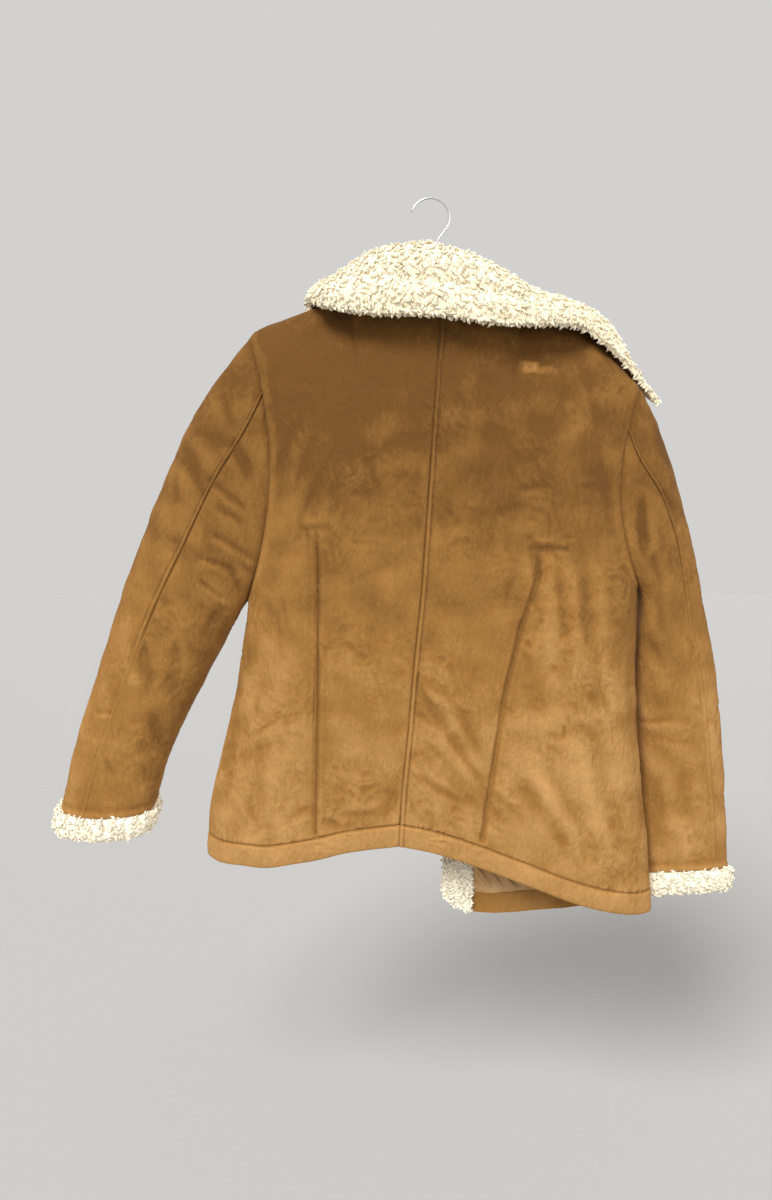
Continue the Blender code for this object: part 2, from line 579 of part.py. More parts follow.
# --------------------------------------------------------------------------- hanger
curve = arc((0.0, -HOOK_R + WIRE_R), HOOK_R, *HOOK_ARC, 22)
bend, lead_end = tilted([(0.0035, TWIST_TOP + 0.014), (0.0, TWIST_TOP + 0.004)])
lead = evenly([curve[-1], bend, lead_end], np.linspace(0, 1, 6))[1:]
shank = tilted([(0.0, h) for h in (TWIST_TOP, TWIST_TOP - 0.001, *np.linspace(TWIST_TOP, TWIST_END, 4)[1:])])
path = np.concatenate([curve, lead, shank])
radii = np.where(np.arange(len(path)) > len(path) - len(shank), TWIST_R, WIRE_R)
tube("hanger_hook", path, radii, wire)
corners = tilted([(0.0, 0.0), (-KNEE[0], KNEE[1]), (-TIP[0], TIP[1]), TIP, KNEE])
tube("hanger_wire", rounded(corners, CORNER_R), WIRE_R, wire, closed=True)
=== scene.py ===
import math

import bpy
import numpy as np
from mathutils import Matrix, Vector


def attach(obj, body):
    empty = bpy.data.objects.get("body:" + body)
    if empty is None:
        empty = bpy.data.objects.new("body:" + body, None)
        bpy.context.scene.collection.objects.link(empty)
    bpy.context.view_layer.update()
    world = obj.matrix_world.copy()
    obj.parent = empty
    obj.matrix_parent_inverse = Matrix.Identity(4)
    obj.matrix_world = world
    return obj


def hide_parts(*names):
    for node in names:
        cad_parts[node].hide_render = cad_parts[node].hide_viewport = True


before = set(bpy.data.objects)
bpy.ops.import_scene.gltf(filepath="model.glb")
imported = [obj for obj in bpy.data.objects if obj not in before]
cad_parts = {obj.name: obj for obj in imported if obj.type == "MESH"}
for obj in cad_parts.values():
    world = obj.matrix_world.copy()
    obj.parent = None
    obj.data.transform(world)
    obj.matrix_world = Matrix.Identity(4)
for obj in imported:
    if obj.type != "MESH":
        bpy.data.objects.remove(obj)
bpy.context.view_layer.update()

# --------------------------------------------------------------------------- floor, light and camera
# A plain pale floor under the hanging jacket, a high key light and a low side light on its back, a weaker
# light on its front, and a camera level with the shoulder blades that looks slightly down.
FLOOR_Z, FLOOR_HALF = -1.25, 6
FLOOR_COLOUR = (0.392, 0.388, 0.380, 1)
floor = bpy.data.meshes.new("floor")
floor_corners = np.array([(-1, -1), (1, -1), (1, 1), (-1, 1)]) * FLOOR_HALF
floor.from_pydata([(x, y, FLOOR_Z) for x, y in floor_corners.tolist()], [], [(0, 1, 2, 3)])
floor_object = bpy.data.objects.new("floor", floor)
bpy.context.scene.collection.objects.link(floor_object)
floor_finish = bpy.data.materials.new("floor")
floor_finish.use_nodes = True
floor_shader = floor_finish.node_tree.nodes["Principled BSDF"]
floor_shader.inputs["Base Color"].default_value = FLOOR_COLOUR
floor_shader.inputs["Roughness"].default_value = 0.9
floor.materials.append(floor_finish)

studio = bpy.data.worlds.new("studio")
studio.use_nodes = True
sky = studio.node_tree.nodes["Background"]
sky.inputs["Color"].default_value, sky.inputs["Strength"].default_value = (0.92, 0.91, 0.89, 1), 0.70
bpy.context.scene.world = studio

LIGHTS = {  # the way the light travels, how wide its source looks in degrees, strength
    "key": ((0.42, 0.85, -0.90), 24, 3.3),
    "low_side": ((-0.9, 0.7, -0.15), 40, 0.90),
    "front": ((-0.25, -1.0, -0.55), 50, 0.9),
}
for name, (way, width, strength) in LIGHTS.items():
    lamp = bpy.data.lights.new(name, "SUN")
    lamp.angle, lamp.energy = math.radians(width), strength
    lamp_object = bpy.data.objects.new(name, lamp)
    lamp_object.rotation_euler = Vector(way).to_track_quat("-Z", "Y").to_euler()
    bpy.context.scene.collection.objects.link(lamp_object)

CAMERA_PLACE = (-0.00449, -1.080, -0.29969)
CAMERA_DOWN, CAMERA_LEFT, CAMERA_ROLL = math.radians(8.0), math.radians(2.5), math.radians(0.32)
FOCAL_PIXELS, FRAME_HEIGHT = 920.0, 1200.0
flat_ahead = Vector((-math.sin(CAMERA_LEFT), math.cos(CAMERA_LEFT), 0))
ahead = flat_ahead * math.cos(CAMERA_DOWN) - Vector((0, 0, math.sin(CAMERA_DOWN)))
level = Vector((math.cos(CAMERA_LEFT), math.sin(CAMERA_LEFT), 0))
upright = level.cross(ahead)
right = math.cos(CAMERA_ROLL) * level - math.sin(CAMERA_ROLL) * upright
up = math.sin(CAMERA_ROLL) * level + math.cos(CAMERA_ROLL) * upright
camera = bpy.data.cameras.new("camera")
camera.sensor_width = 36.0
camera.lens = FOCAL_PIXELS / FRAME_HEIGHT * camera.sensor_width
camera_object = bpy.data.objects.new("camera", camera)
facing = Matrix((right, up, -ahead)).transposed().to_4x4()
camera_object.matrix_world = Matrix.Translation(CAMERA_PLACE) @ facing
bpy.context.scene.collection.objects.link(camera_object)
bpy.context.scene.camera = camera_object
bpy.context.scene.view_settings.view_transform = "Standard"


# --------------------------------------------------------------------------- the back
# Two halves of bonded faux suede, joined down the middle by a topstitched seam, each shaped by a dart that
# runs up from the hem. The hem is turned up 27.5 mm and topstitched. The inner face is of lining satin.
SUEDE_WALL = 0.003
BODY = np.array([  # share from hem to armpit; left, middle, right as x, z; depth of the back and the fronts
    (0.00, -0.273, -0.764, -0.036, -0.740, 0.270, -0.830, -0.044, 0.028),
    (0.22, -0.267, -0.698, -0.032, -0.672, 0.262, -0.742, -0.049, 0.031),
    (0.42, -0.250, -0.632, -0.025, -0.602, 0.251, -0.655, -0.053, 0.033),
    (0.68, -0.230, -0.548, -0.018, -0.522, 0.243, -0.562, -0.056, 0.036),
    (1.00, -0.214, -0.450, -0.009, -0.434, 0.241, -0.434, -0.057, 0.038),
])
NECK_BACK = (0.013, -0.041, -0.114)
CHEST_BACK_Y, CHEST_FRONT_Y = -0.055, 0.040
SIDE_Y, SHOULDER_Y = -0.008, 0.0
HEM_BACK = {  # share across and drop under the straight line from the side to the middle
    "left": ((0.0, 0.0), (0.08, 0.006), (0.20, 0.009), (0.33, 0.013), (0.46, 0.011), (0.60, 0.008),
             (0.72, 0.003), (0.85, 0.001), (1.0, 0.0)),
    "right": ((0.0, 0.0), (0.07, 0.005), (0.17, 0.008), (0.30, 0.008), (0.48, 0.003), (0.62, -0.001),
              (0.77, -0.004), (0.88, -0.004), (1.0, 0.0)),
}
HEM_FRONT = {
    "left": ((0.0, 0.0), (0.3, 0.004), (0.7, 0.004), (1.0, 0.0)),
    "right": ((0.0, 0.0), (0.3, 0.009), (0.6, 0.014), (0.85, 0.014), (1.0, 0.004)),
}
SHOULDER = {
    "left": ((-0.205, -0.149), (-0.193, -0.1385), (-0.168, -0.1290), (-0.141, -0.1195), (-0.086, -0.1010)),
    "right": ((0.236, -0.209), (0.218, -0.1880), (0.199, -0.1675), (0.176, -0.1485), (0.101, -0.1130)),
}
NECK_SHARE = {"left": 0.55, "right": 0.60}
ROLL = {
    "left": ((-0.084, -0.764), (-0.076, -0.698), (-0.069, -0.630), (-0.064, -0.550), (-0.061, -0.450),
             (-0.074, -0.160)),
    "right": ((0.028, -0.842), (0.031, -0.760), (0.036, -0.675), (0.042, -0.580), (0.050, -0.462),
              (0.097, -0.172)),
}
ROLL_Y = {"left": 0.038, "right": 0.040}
STRIP_SHARE = 0.90
SLEEVE = {  # share of the length, outer edge and inner edge as x, z, middle y, half depth, bow, drop
    "left": np.array([
        (0.00, -0.205, -0.149, -0.214, -0.450, -0.003, 0.034, 0.028, 0.00),
        (0.12, -0.262, -0.222, -0.223, -0.462, -0.005, 0.040, 0.004, 0.00),
        (0.25, -0.313, -0.323, -0.235, -0.481, -0.006, 0.043, 0.000, 0.00),
        (0.40, -0.355, -0.421, -0.250, -0.511, -0.007, 0.041, 0.000, 0.00),
        (0.58, -0.394, -0.527, -0.283, -0.571, -0.008, 0.037, 0.000, 0.05),
        (0.78, -0.428, -0.624, -0.315, -0.638, -0.010, 0.034, 0.000, 0.15),
        (1.00, -0.449, -0.701, -0.335, -0.700, -0.011, 0.032, 0.000, 0.30),
    ]),
    "right": np.array([
        (0.00, 0.236, -0.209, 0.241, -0.434, -0.003, 0.034, -0.025, 0.00),
        (0.10, 0.264, -0.262, 0.246, -0.448, 0.004, 0.038, -0.004, 0.00),
        (0.21, 0.285, -0.320, 0.248, -0.471, 0.011, 0.039, 0.000, 0.00),
        (0.33, 0.305, -0.385, 0.245, -0.504, 0.015, 0.037, 0.000, 0.00),
        (0.47, 0.324, -0.458, 0.247, -0.552, 0.020, 0.034, 0.000, -0.05),
        (0.62, 0.343, -0.545, 0.252, -0.612, 0.023, 0.032, 0.000, -0.12),
        (0.81, 0.358, -0.665, 0.258, -0.702, 0.025, 0.030, 0.000, -0.22),
        (1.00, 0.369, -0.789, 0.263, -0.797, 0.027, 0.028, 0.000, -0.30),
    ]),
}
RING_SQUARE = 0.65
FOLDS = np.array([  # the largest folds of the back: from x, z to x, z, half width and depth of a trough
    (-0.135, -0.215, -0.176, -0.335, 0.014, 0.0040),
    (-0.129, -0.370, -0.135, -0.745, 0.008, 0.0025),
    (0.121, -0.385, 0.061, -0.745, 0.008, 0.0025),
    (0.165, -0.440, 0.172, -0.640, 0.016, -0.0030),
    (-0.010, -0.560, 0.080, -0.660, 0.012, 0.0025),
])


def smooth(rows, at):
    """A smooth curve through a table whose first column t is the place along it.

    Between two rows it is the cubic that meets both values and both slopes, a slope being the mean of the
    rises on either side of its row."""
    rows = np.asarray(rows, float)
    t, values = rows[:, 0], rows[:, 1:]
    step = np.diff(t)[:, None]
    rise = np.diff(values, axis=0) / step
    slope = np.vstack([rise[:1], (rise[1:] * step[:-1] + rise[:-1] * step[1:]) / (step[1:] + step[:-1]),
                       rise[-1:]])
    at = np.atleast_1d(at)
    i = np.clip(np.searchsorted(t, at, side="right") - 1, 0, len(t) - 2)
    h = (t[i + 1] - t[i])[:, None]
    s = ((at - t[i])[:, None]) / h
    return ((1 + 2 * s) * (1 - s) ** 2 * values[i] + s * (1 - s) ** 2 * h * slope[i]
            + s * s * (3 - 2 * s) * values[i + 1] + s * s * (s - 1) * h * slope[i + 1])


def evenly(points, at):
    """The same curve through points that are evenly spaced from 0 to 1."""
    points = np.asarray(points, float)
    return smooth(np.column_stack([np.linspace(0, 1, len(points)), points]), at)


def unit(vectors):
    """Each vector over its length."""
    return vectors / np.maximum(np.linalg.norm(vectors, axis=-1, keepdims=True), 1e-12)


def face_normals(grid, sign):
    """The cross product of the steps along a row and along a column, at each point of a grid."""
    return sign * unit(np.cross(np.gradient(grid, axis=1), np.gradient(grid, axis=0)))


def run_from(grid, axis, end=False):
    """The distance along the cloth from a grid's first (or last) row or column to each point."""
    step = np.linalg.norm(np.diff(grid, axis=axis), axis=-1)
    shape = list(step.shape)
    shape[axis] = 1
    run = np.concatenate([np.zeros(shape), np.cumsum(step, axis=axis)], axis=axis)
    return np.take(run, [-1], axis=axis) - run if end else run


def run_along(points):
    """The distance along a line of points from its first to each of them."""
    return np.concatenate([[0], np.cumsum(np.linalg.norm(np.diff(points, axis=0), axis=1))])


def on_line(at, run, points):
    """Points at given distances along a line of points, whose own distances are run."""
    return np.stack([np.interp(at, run, points[:, k]) for k in range(3)], axis=-1)


WAVE_COUNT = 28


def waves(points, length, seed, stretch=(1, 1, 1)):
    """A smooth random field of size about 1: a sum of sine waves near one length, each in its own direction.

    The stretch makes the field's shapes longer along an axis."""
    rng = np.random.default_rng(seed)
    way = unit(rng.normal(size=(WAVE_COUNT, 3))) / np.asarray(stretch, float)
    pitch = 2 * math.pi / length * rng.uniform(0.65, 1.5, WAVE_COUNT)
    phase = rng.uniform(0, 2 * math.pi, WAVE_COUNT)
    total = np.zeros(points.shape[:-1])
    for d, k, p in zip(way, pitch, phase):
        total += np.sin((points @ d) * k + p)
    return total / math.sqrt(WAVE_COUNT / 2)


def pushes(points, length, seed):
    """A smooth random push of size about 1 in each of the three directions."""
    return np.stack([waves(points, length, seed + k) for k in range(3)], axis=-1)


def turned(points, degrees):
    """Points turned about the Y axis, to lay a stretched field at a slant across the back."""
    c, s = math.cos(math.radians(degrees)), math.sin(math.radians(degrees))
    x, y, z = np.moveaxis(points, -1, 0)
    return np.stack([x * c + z * s, y, -x * s + z * c], axis=-1)


def creases(x, z, table):
    """The sum of soft troughs: depth * exp(-(off / half width)^2), fading out towards both ends of each."""
    total = np.zeros_like(x)
    for x0, z0, x1, z1, width, depth in table:
        run = np.array((x1 - x0, z1 - z0))
        length = np.hypot(*run)
        along = ((x - x0) * run[0] + (z - z0) * run[1]) / length ** 2
        off = ((x - x0) * run[1] - (z - z0) * run[0]) / length
        fade = np.clip(1 - np.abs(2 * along - 1) ** 4, 0, 1)
        total += depth * fade * np.exp(-(off / width) ** 2)
    return total


def sleeve_ring(side, share, theta, front):
    """A sleeve's ring at a share of its length: an ellipse, squared a little, between its two edges.

    place = outer + (inner - outer) * (1 - cos theta) / 2, depth = half depth * |sin theta|^0.65."""
    outer_x, outer_z, inner_x, inner_z, y, half, bow, drop = smooth(SLEEVE[side], share)[0]
    across = (1 - np.cos(theta)) / 2
    sine = np.abs(np.sin(theta))
    depth = np.where(front, 1.0, -1.0) * half * sine ** RING_SQUARE
    return np.stack([outer_x + (inner_x - outer_x) * across + bow * sine ** 2, y + depth,
                     outer_z + (inner_z - outer_z) * across + drop * depth], axis=-1)


def panel_grid(side, front, skirt, arm, near, far):
    """A back or a front panel: rows from hem to shoulder, columns from the side to the middle.

    skirt gives the rows' shares from hem to armpit, arm the number of rows above it, near the number of
    columns out to the neck point, and far the columns' shares from there to the middle. A row below the
    armpit is straight between its two edges, plus the hem's own curve. The rows above it turn by equal
    angles round the armhole, and take up the curve of the shoulder seam and the neckline. The depth
    leaves the side as a quarter ellipse and comes in again over the shoulder."""
    neck = NECK_SHARE[side]
    near_shares = neck * (1 - np.cos(np.linspace(0, math.pi / 2, near + 1)))
    across = np.concatenate([near_shares, neck + (1 - neck) * far])
    x_of, z_of = (1, 2) if side == "left" else (5, 6)
    levels = smooth(BODY, skirt)
    pit = smooth(BODY, 1.0)[0]
    theta = np.linspace(math.pi, 0, arm + 1)
    rise = 1 - theta / math.pi
    hole = sleeve_ring(side, 0.0, theta, front)
    edge = np.vstack([levels[:, [x_of - 1, z_of - 1]], hole[:, ::2]])
    if front:
        roll = np.array(ROLL[side])
        below = smooth(np.column_stack([BODY[:, 0], roll[:-1]]), skirt)
        above = roll[-2] + (roll[-1] - roll[-2]) * rise[:, None]
        middle = np.vstack([below, above])
        chest = smooth(((0, pit[7]), (0.5, CHEST_FRONT_Y), (1, ROLL_Y[side])), rise)[:, 0]
        depth = np.concatenate([levels[:, 7], chest])
    else:
        top = np.array((NECK_BACK[0], NECK_BACK[2]))
        above = pit[2:4] + (top - pit[2:4]) * rise[:, None]
        middle = np.vstack([levels[:, 2:4], above])
        chest = smooth(((0, pit[6]), (0.5, CHEST_BACK_Y), (1, CHEST_BACK_Y)), rise)[:, 0]
        depth = np.concatenate([levels[:, 6], chest])
    flat = edge[:, None] + (middle - edge)[:, None] * across[None, :, None]
    hem = smooth((HEM_FRONT if front else HEM_BACK)[side], across)[:, 0]
    fade = np.concatenate([np.clip(1 - skirt / 0.7, 0, 1) ** 2, np.zeros(arm + 1)])
    flat[..., 1] -= fade[:, None] * hem[None]

    seam = evenly(SHOULDER[side], near_shares / neck)
    t = (across[near + 1:] - neck) / (1 - neck)
    neck_x = seam[-1, 0] + (middle[-1, 0] - seam[-1, 0]) * t
    if front:
        neck_z = seam[-1, 1] + (middle[-1, 1] - seam[-1, 1]) * t ** 0.9
        neck_y = SHOULDER_Y + (ROLL_Y[side] - SHOULDER_Y) * np.sin(t * math.pi / 2)
    else:
        neck_z = seam[-1, 1] + (middle[-1, 1] - seam[-1, 1]) * np.sin(t * math.pi / 2)
        neck_y = SHOULDER_Y + (NECK_BACK[1] - SHOULDER_Y) * np.sqrt(1 - (1 - t) ** 2)
    top = np.vstack([seam, np.column_stack([neck_x, neck_z])])
    top_y = np.concatenate([np.full(near + 1, SHOULDER_Y), neck_y])
    top_y[0] = hole[-1, 1]
    lift = np.concatenate([np.zeros(len(skirt)), rise ** 2.2])
    flat += lift[:, None, None] * (top - flat[-1])[None]

    softness = np.concatenate([np.full(len(skirt), 0.5), 0.5 + 0.4 * np.clip(rise * 4, 0, 1)])
    out = (1 - (1 - np.clip(across / 0.42, 0, 1)[None]) ** 2) ** softness[:, None]
    edge_y = np.concatenate([SIDE_Y + (hole[0, 1] - SIDE_Y) * skirt, hole[:, 1]])
    over = np.cos(np.clip((rise - 0.45) / 0.55, 0, 1) * math.pi / 2) ** 0.6
    over = np.concatenate([np.ones(len(skirt)), over])[:, None]
    full = top_y[None] + (depth[:, None] - top_y[None]) * over
    y = edge_y[:, None] * (1 - out) + full * out
    if not front:
        y = y + creases(flat[..., 0], flat[..., 1], FOLDS) * np.minimum(over, out)
    return np.stack([flat[..., 0], y, flat[..., 1]], axis=-1)


def eased(grid, row, reach=14, rounds=40):
    """Takes the kink out of the rows near the armpit: each point moves towards the mean of the points above
    and below it, less and less away from that row and at the panel's side."""
    rows, columns = np.arange(grid.shape[0])[:, None, None], np.arange(grid.shape[1])[:, None]
    pull = 0.5 * np.clip(1 - np.abs(rows - row) / reach, 0, 1) * np.clip(columns / 8, 0, 1)
    for _ in range(rounds):
        middle = (np.roll(grid, 1, axis=0) + np.roll(grid, -1, axis=0)) / 2
        grid = grid + pull * (middle - grid)
    return grid


def lowest(relief):
    """The deepest groove among each point and its neighbours, 0 where there is none."""
    low = np.minimum(relief, 0)
    for axis in (0, 1):
        low = np.minimum(low, np.minimum(np.roll(low, 1, axis), np.roll(low, -1, axis)))
    return low


def new_piece(name, points, faces, finishes):
    """A smooth mesh of points and faces, as an object in the scene."""
    mesh = bpy.data.meshes.new(name)
    mesh.from_pydata(points.reshape(-1, 3).tolist(), [], faces)
    for finish in finishes:
        mesh.materials.append(finish)
    mesh.shade_smooth()
    piece = bpy.data.objects.new(name, mesh)
    bpy.context.scene.collection.objects.link(piece)
    return piece


def closed_shell(name, outer, inner, finishes, flip):
    """Joins an outer grid and a coarser inner grid, which holds every second point, into one closed wall.

    Faces of the outer grid take the first finish, those of the inner grid the last."""
    rows, cols = outer.shape[:2]
    inner = inner[::2, ::2]
    count = rows * cols
    number = np.arange(count).reshape(rows, cols)
    within = count + np.arange(inner.shape[0] * inner.shape[1]).reshape(inner.shape[:2])

    def quads(n):
        return np.stack([n[:-1, :-1], n[:-1, 1:], n[1:, 1:], n[1:, :-1]], axis=-1).reshape(-1, 4)

    def rim(line, low):
        """Three triangles for each two steps of the outer edge and one of the inner edge."""
        a, b, c, d, e = line[:-1:2], line[1::2], line[2::2], low[:-1], low[1:]
        return np.concatenate([np.stack([b, a, d], -1), np.stack([b, d, e], -1), np.stack([c, b, e], -1)])

    edges = [rim(number[0], within[0]), rim(number[:, -1], within[:, -1]),
             rim(number[-1, ::-1], within[-1, ::-1]), rim(number[::-1, 0], within[::-1, 0])]
    outside, inside = quads(number), quads(within)[:, ::-1]
    faces = [*outside.tolist(), *inside.tolist(), *np.concatenate(edges).tolist()]
    if flip:
        faces = [face[::-1] for face in faces]
    piece = new_piece(name, np.concatenate([outer.reshape(-1, 3), inner.reshape(-1, 3)]), faces, finishes)
    layer = np.zeros(len(faces), np.int32)
    layer[len(outside):len(outside) + len(inside)] = len(finishes) - 1
    piece.data.polygons.foreach_set("material_index", layer)
    piece.data.set_sharp_from_angle(angle=math.radians(50))
    return piece


def add_field(piece, name, values):
    """Keeps one number for each point of the mesh; the points of the inner wall get 0.5."""
    field = piece.data.attributes.new(name, "FLOAT", "POINT")
    kept = np.full(len(piece.data.vertices), 0.5, np.float32)
    kept[:values.size] = values.ravel()
    field.data.foreach_set("value", kept)


def mix_colour(tree, factor, a, b):
    """A Mix node between two colours, given as sockets or as values."""
    mix = tree.nodes.new("ShaderNodeMix")
    mix.data_type = "RGBA"
    tree.links.new(factor, mix.inputs[0])
    for socket, value in ((mix.inputs[6], a), (mix.inputs[7], b)):
        if isinstance(value, tuple):
            socket.default_value = (*value, 1)
        else:
            tree.links.new(value, socket)
    return mix.outputs[2]


def noise(tree, scale, detail, roughness, distortion=0.0, stretch=None):
    """A noise texture on object coordinates, its cells stretched or slanted by a mapping where asked."""
    place = tree.nodes.new("ShaderNodeTexCoord").outputs["Object"]
    if stretch:
        mapping = tree.nodes.new("ShaderNodeMapping")
        mapping.inputs["Scale"].default_value, mapping.inputs["Rotation"].default_value = stretch
        tree.links.new(place, mapping.inputs["Vector"])
        place = mapping.outputs["Vector"]
    made = tree.nodes.new("ShaderNodeTexNoise")
    tree.links.new(place, made.inputs["Vector"])
    for name, value in (("Scale", scale), ("Detail", detail), ("Roughness", roughness),
                        ("Distortion", distortion)):
        made.inputs[name].default_value = value
    return made.outputs["Fac"]


def between(tree, value, low, high, to_low=0.0, to_high=1.0):
    """A value carried from one range to another, held at both ends."""
    span = tree.nodes.new("ShaderNodeMapRange")
    tree.links.new(value, span.inputs["Value"])
    for name, number in (("From Min", low), ("From Max", high), ("To Min", to_low), ("To Max", to_high)):
        span.inputs[name].default_value = number
    return span.outputs["Result"]


def bumped(tree, layers):
    """Bump nodes in a chain, one for each height, strength and distance."""
    normal = None
    for height, strength, distance in layers:
        bump = tree.nodes.new("ShaderNodeBump")
        bump.inputs["Strength"].default_value = strength
        bump.inputs["Distance"].default_value = distance
        tree.links.new(height, bump.inputs["Height"])
        if normal:
            tree.links.new(normal, bump.inputs["Normal"])
        normal = bump.outputs["Normal"]
    return normal


def finish_of(name, roughness, metallic=0.0, sheen=0.0, sheen_tint=(1, 1, 1)):
    """A new material with its shader's plain numbers set."""
    made = bpy.data.materials.new(name)
    made.use_nodes = True
    shader = made.node_tree.nodes["Principled BSDF"]
    shader.inputs["Roughness"].default_value = roughness
    shader.inputs["Metallic"].default_value = metallic
    shader.inputs["Sheen Weight"].default_value = sheen
    shader.inputs["Sheen Roughness"].default_value = 0.45
    shader.inputs["Sheen Tint"].default_value = (*sheen_tint, 1)
    return made, made.node_tree, shader


def field_of(tree, name):
    """Reads a number that the mesh keeps for each point."""
    node = tree.nodes.new("ShaderNodeAttribute")
    node.attribute_name = name
    return node.outputs["Fac"]


def combined(tree, operation, *values):
    """The sum or the product of several values."""
    total = values[0]
    for value in values[1:]:
        node = tree.nodes.new("ShaderNodeMath")
        node.operation = operation
        tree.links.new(total, node.inputs[0])
        tree.links.new(value, node.inputs[1])
        total = node.outputs[0]
    return total


def crackle(tree, scale, stretch, bend):
    """Height of a crackled grain: 0 in the cracks between Voronoi cells and 1 inside the cells."""
    place = tree.nodes.new("ShaderNodeTexCoord").outputs["Object"]
    drift = tree.nodes.new("ShaderNodeTexNoise")
    tree.links.new(place, drift.inputs["Vector"])
    drift.inputs["Scale"].default_value = scale * 0.45
    drift.inputs["Detail"].default_value = 3
    push = tree.nodes.new("ShaderNodeVectorMath")
    push.operation = "MULTIPLY_ADD"
    tree.links.new(drift.outputs["Color"], push.inputs[0])
    push.inputs[1].default_value = (bend,) * 3
    tree.links.new(place, push.inputs[2])
    mapping = tree.nodes.new("ShaderNodeMapping")
    mapping.inputs["Scale"].default_value, mapping.inputs["Rotation"].default_value = stretch
    tree.links.new(push.outputs["Vector"], mapping.inputs["Vector"])
    cells = tree.nodes.new("ShaderNodeTexVoronoi")
    cells.feature = "DISTANCE_TO_EDGE"
    cells.inputs["Scale"].default_value = scale
    tree.links.new(mapping.outputs["Vector"], cells.inputs["Vector"])
    return between(tree, cells.outputs["Distance"], 0.0, 0.28)


# The suede's nap lies dark or light as it was last brushed, in broad soft-edged patches that the field
# "nap" lays out; the same field also carries painted shade in the grooves, painted light on the ridges
# and painted shade on the left sleeve's lower part. Over them come faint clouds, brushed streaks and the
# fibres. The bonded cloth has a fine crackled grain like leather's, in cells about 6 mm and 3 mm wide,
# stronger in some places than in others.
suede, tree, shader = finish_of("suede", 0.95, sheen=0.05, sheen_tint=(0.90, 0.55, 0.22))
shader.inputs["Specular IOR Level"].default_value = 0.25
NAP_DARK, NAP_MIDDLE, NAP_LIGHT = (0.112, 0.044, 0.0055), (0.275, 0.127, 0.027), (0.490, 0.268, 0.092)
cloud = between(tree, noise(tree, 14, 6, 0.6, 0.5), 0.30, 0.70, -0.022, 0.022)
streaks = noise(tree, 60, 5, 0.62, 0.4, ((1, 1, 0.28), (0, 0.10, 0)))
streak = between(tree, streaks, 0.30, 0.70, -0.040, 0.040)
strokes = noise(tree, 260, 5, 0.68, 0.5, ((1, 1, 0.36), (0, 0.65, 0)))
mottle = between(tree, strokes, 0.30, 0.70, -0.060, 0.060)
fibre = noise(tree, 1500, 3, 0.7)
coarse = crackle(tree, 150, ((1, 1, 0.62), (0, 0.70, 0)), 0.006)
fine = crackle(tree, 330, ((1, 1, 0.75), (0, -0.5, 0)), 0.003)
cracked = between(tree, noise(tree, 22, 3, 0.5), 0.38, 0.62)
crack_tone = combined(tree, "MULTIPLY", between(tree, coarse, 0, 1, -0.05, 0.02), cracked)
# The nap field's painted shade and light are mixed into the colour here with the nap's own tone.
lay = combined(tree, "ADD", field_of(tree, "nap"), cloud, streak, mottle, crack_tone)
low = mix_colour(tree, between(tree, lay, 0.05, 0.5), NAP_DARK, NAP_MIDDLE)
nap_and_shade_colour = mix_colour(tree, between(tree, lay, 0.5, 0.95), low, NAP_LIGHT)
worn = mix_colour(tree, between(tree, fibre, 0.35, 0.75, 0.0, 0.16), nap_and_shade_colour, NAP_LIGHT)
tree.links.new(worn, shader.inputs["Base Color"])
grain = noise(tree, 520, 4, 0.6, 0.4)
swell = combined(tree, "MULTIPLY", coarse, between(tree, cracked, 0, 1, 0.35, 1.0))
crinkle = between(tree, noise(tree, 95, 3, 0.5, 0.7, ((1, 1, 0.38), (0, 0.75, 0))), 0.35, 0.65)
SUEDE_BUMPS = [  # height, strength, distance
    (crinkle, 0.38, 0.0016), (swell, 0.30, 0.0011), (fine, 0.30, 0.0005),
    (strokes, 0.45, 0.0012), (grain, 0.30, 0.0005), (fibre, 0.25, 0.0003),
]
tree.links.new(bumped(tree, SUEDE_BUMPS), shader.inputs["Normal"])

satin, tree, shader = finish_of("satin", 0.38)
shader.inputs["Specular IOR Level"].default_value = 0.35
SATIN_DARK, SATIN_LIGHT = (0.40, 0.225, 0.085), (0.58, 0.365, 0.165)
shade = between(tree, noise(tree, 30, 4, 0.5), 0.3, 0.7)
tree.links.new(mix_colour(tree, shade, SATIN_DARK, SATIN_LIGHT), shader.inputs["Base Color"])
weave = noise(tree, 2600, 2, 0.5, 0, ((1, 1, 0.15), (0, 0, 0)))
tree.links.new(bumped(tree, [(weave, 0.12, 0.0002)]), shader.inputs["Normal"])

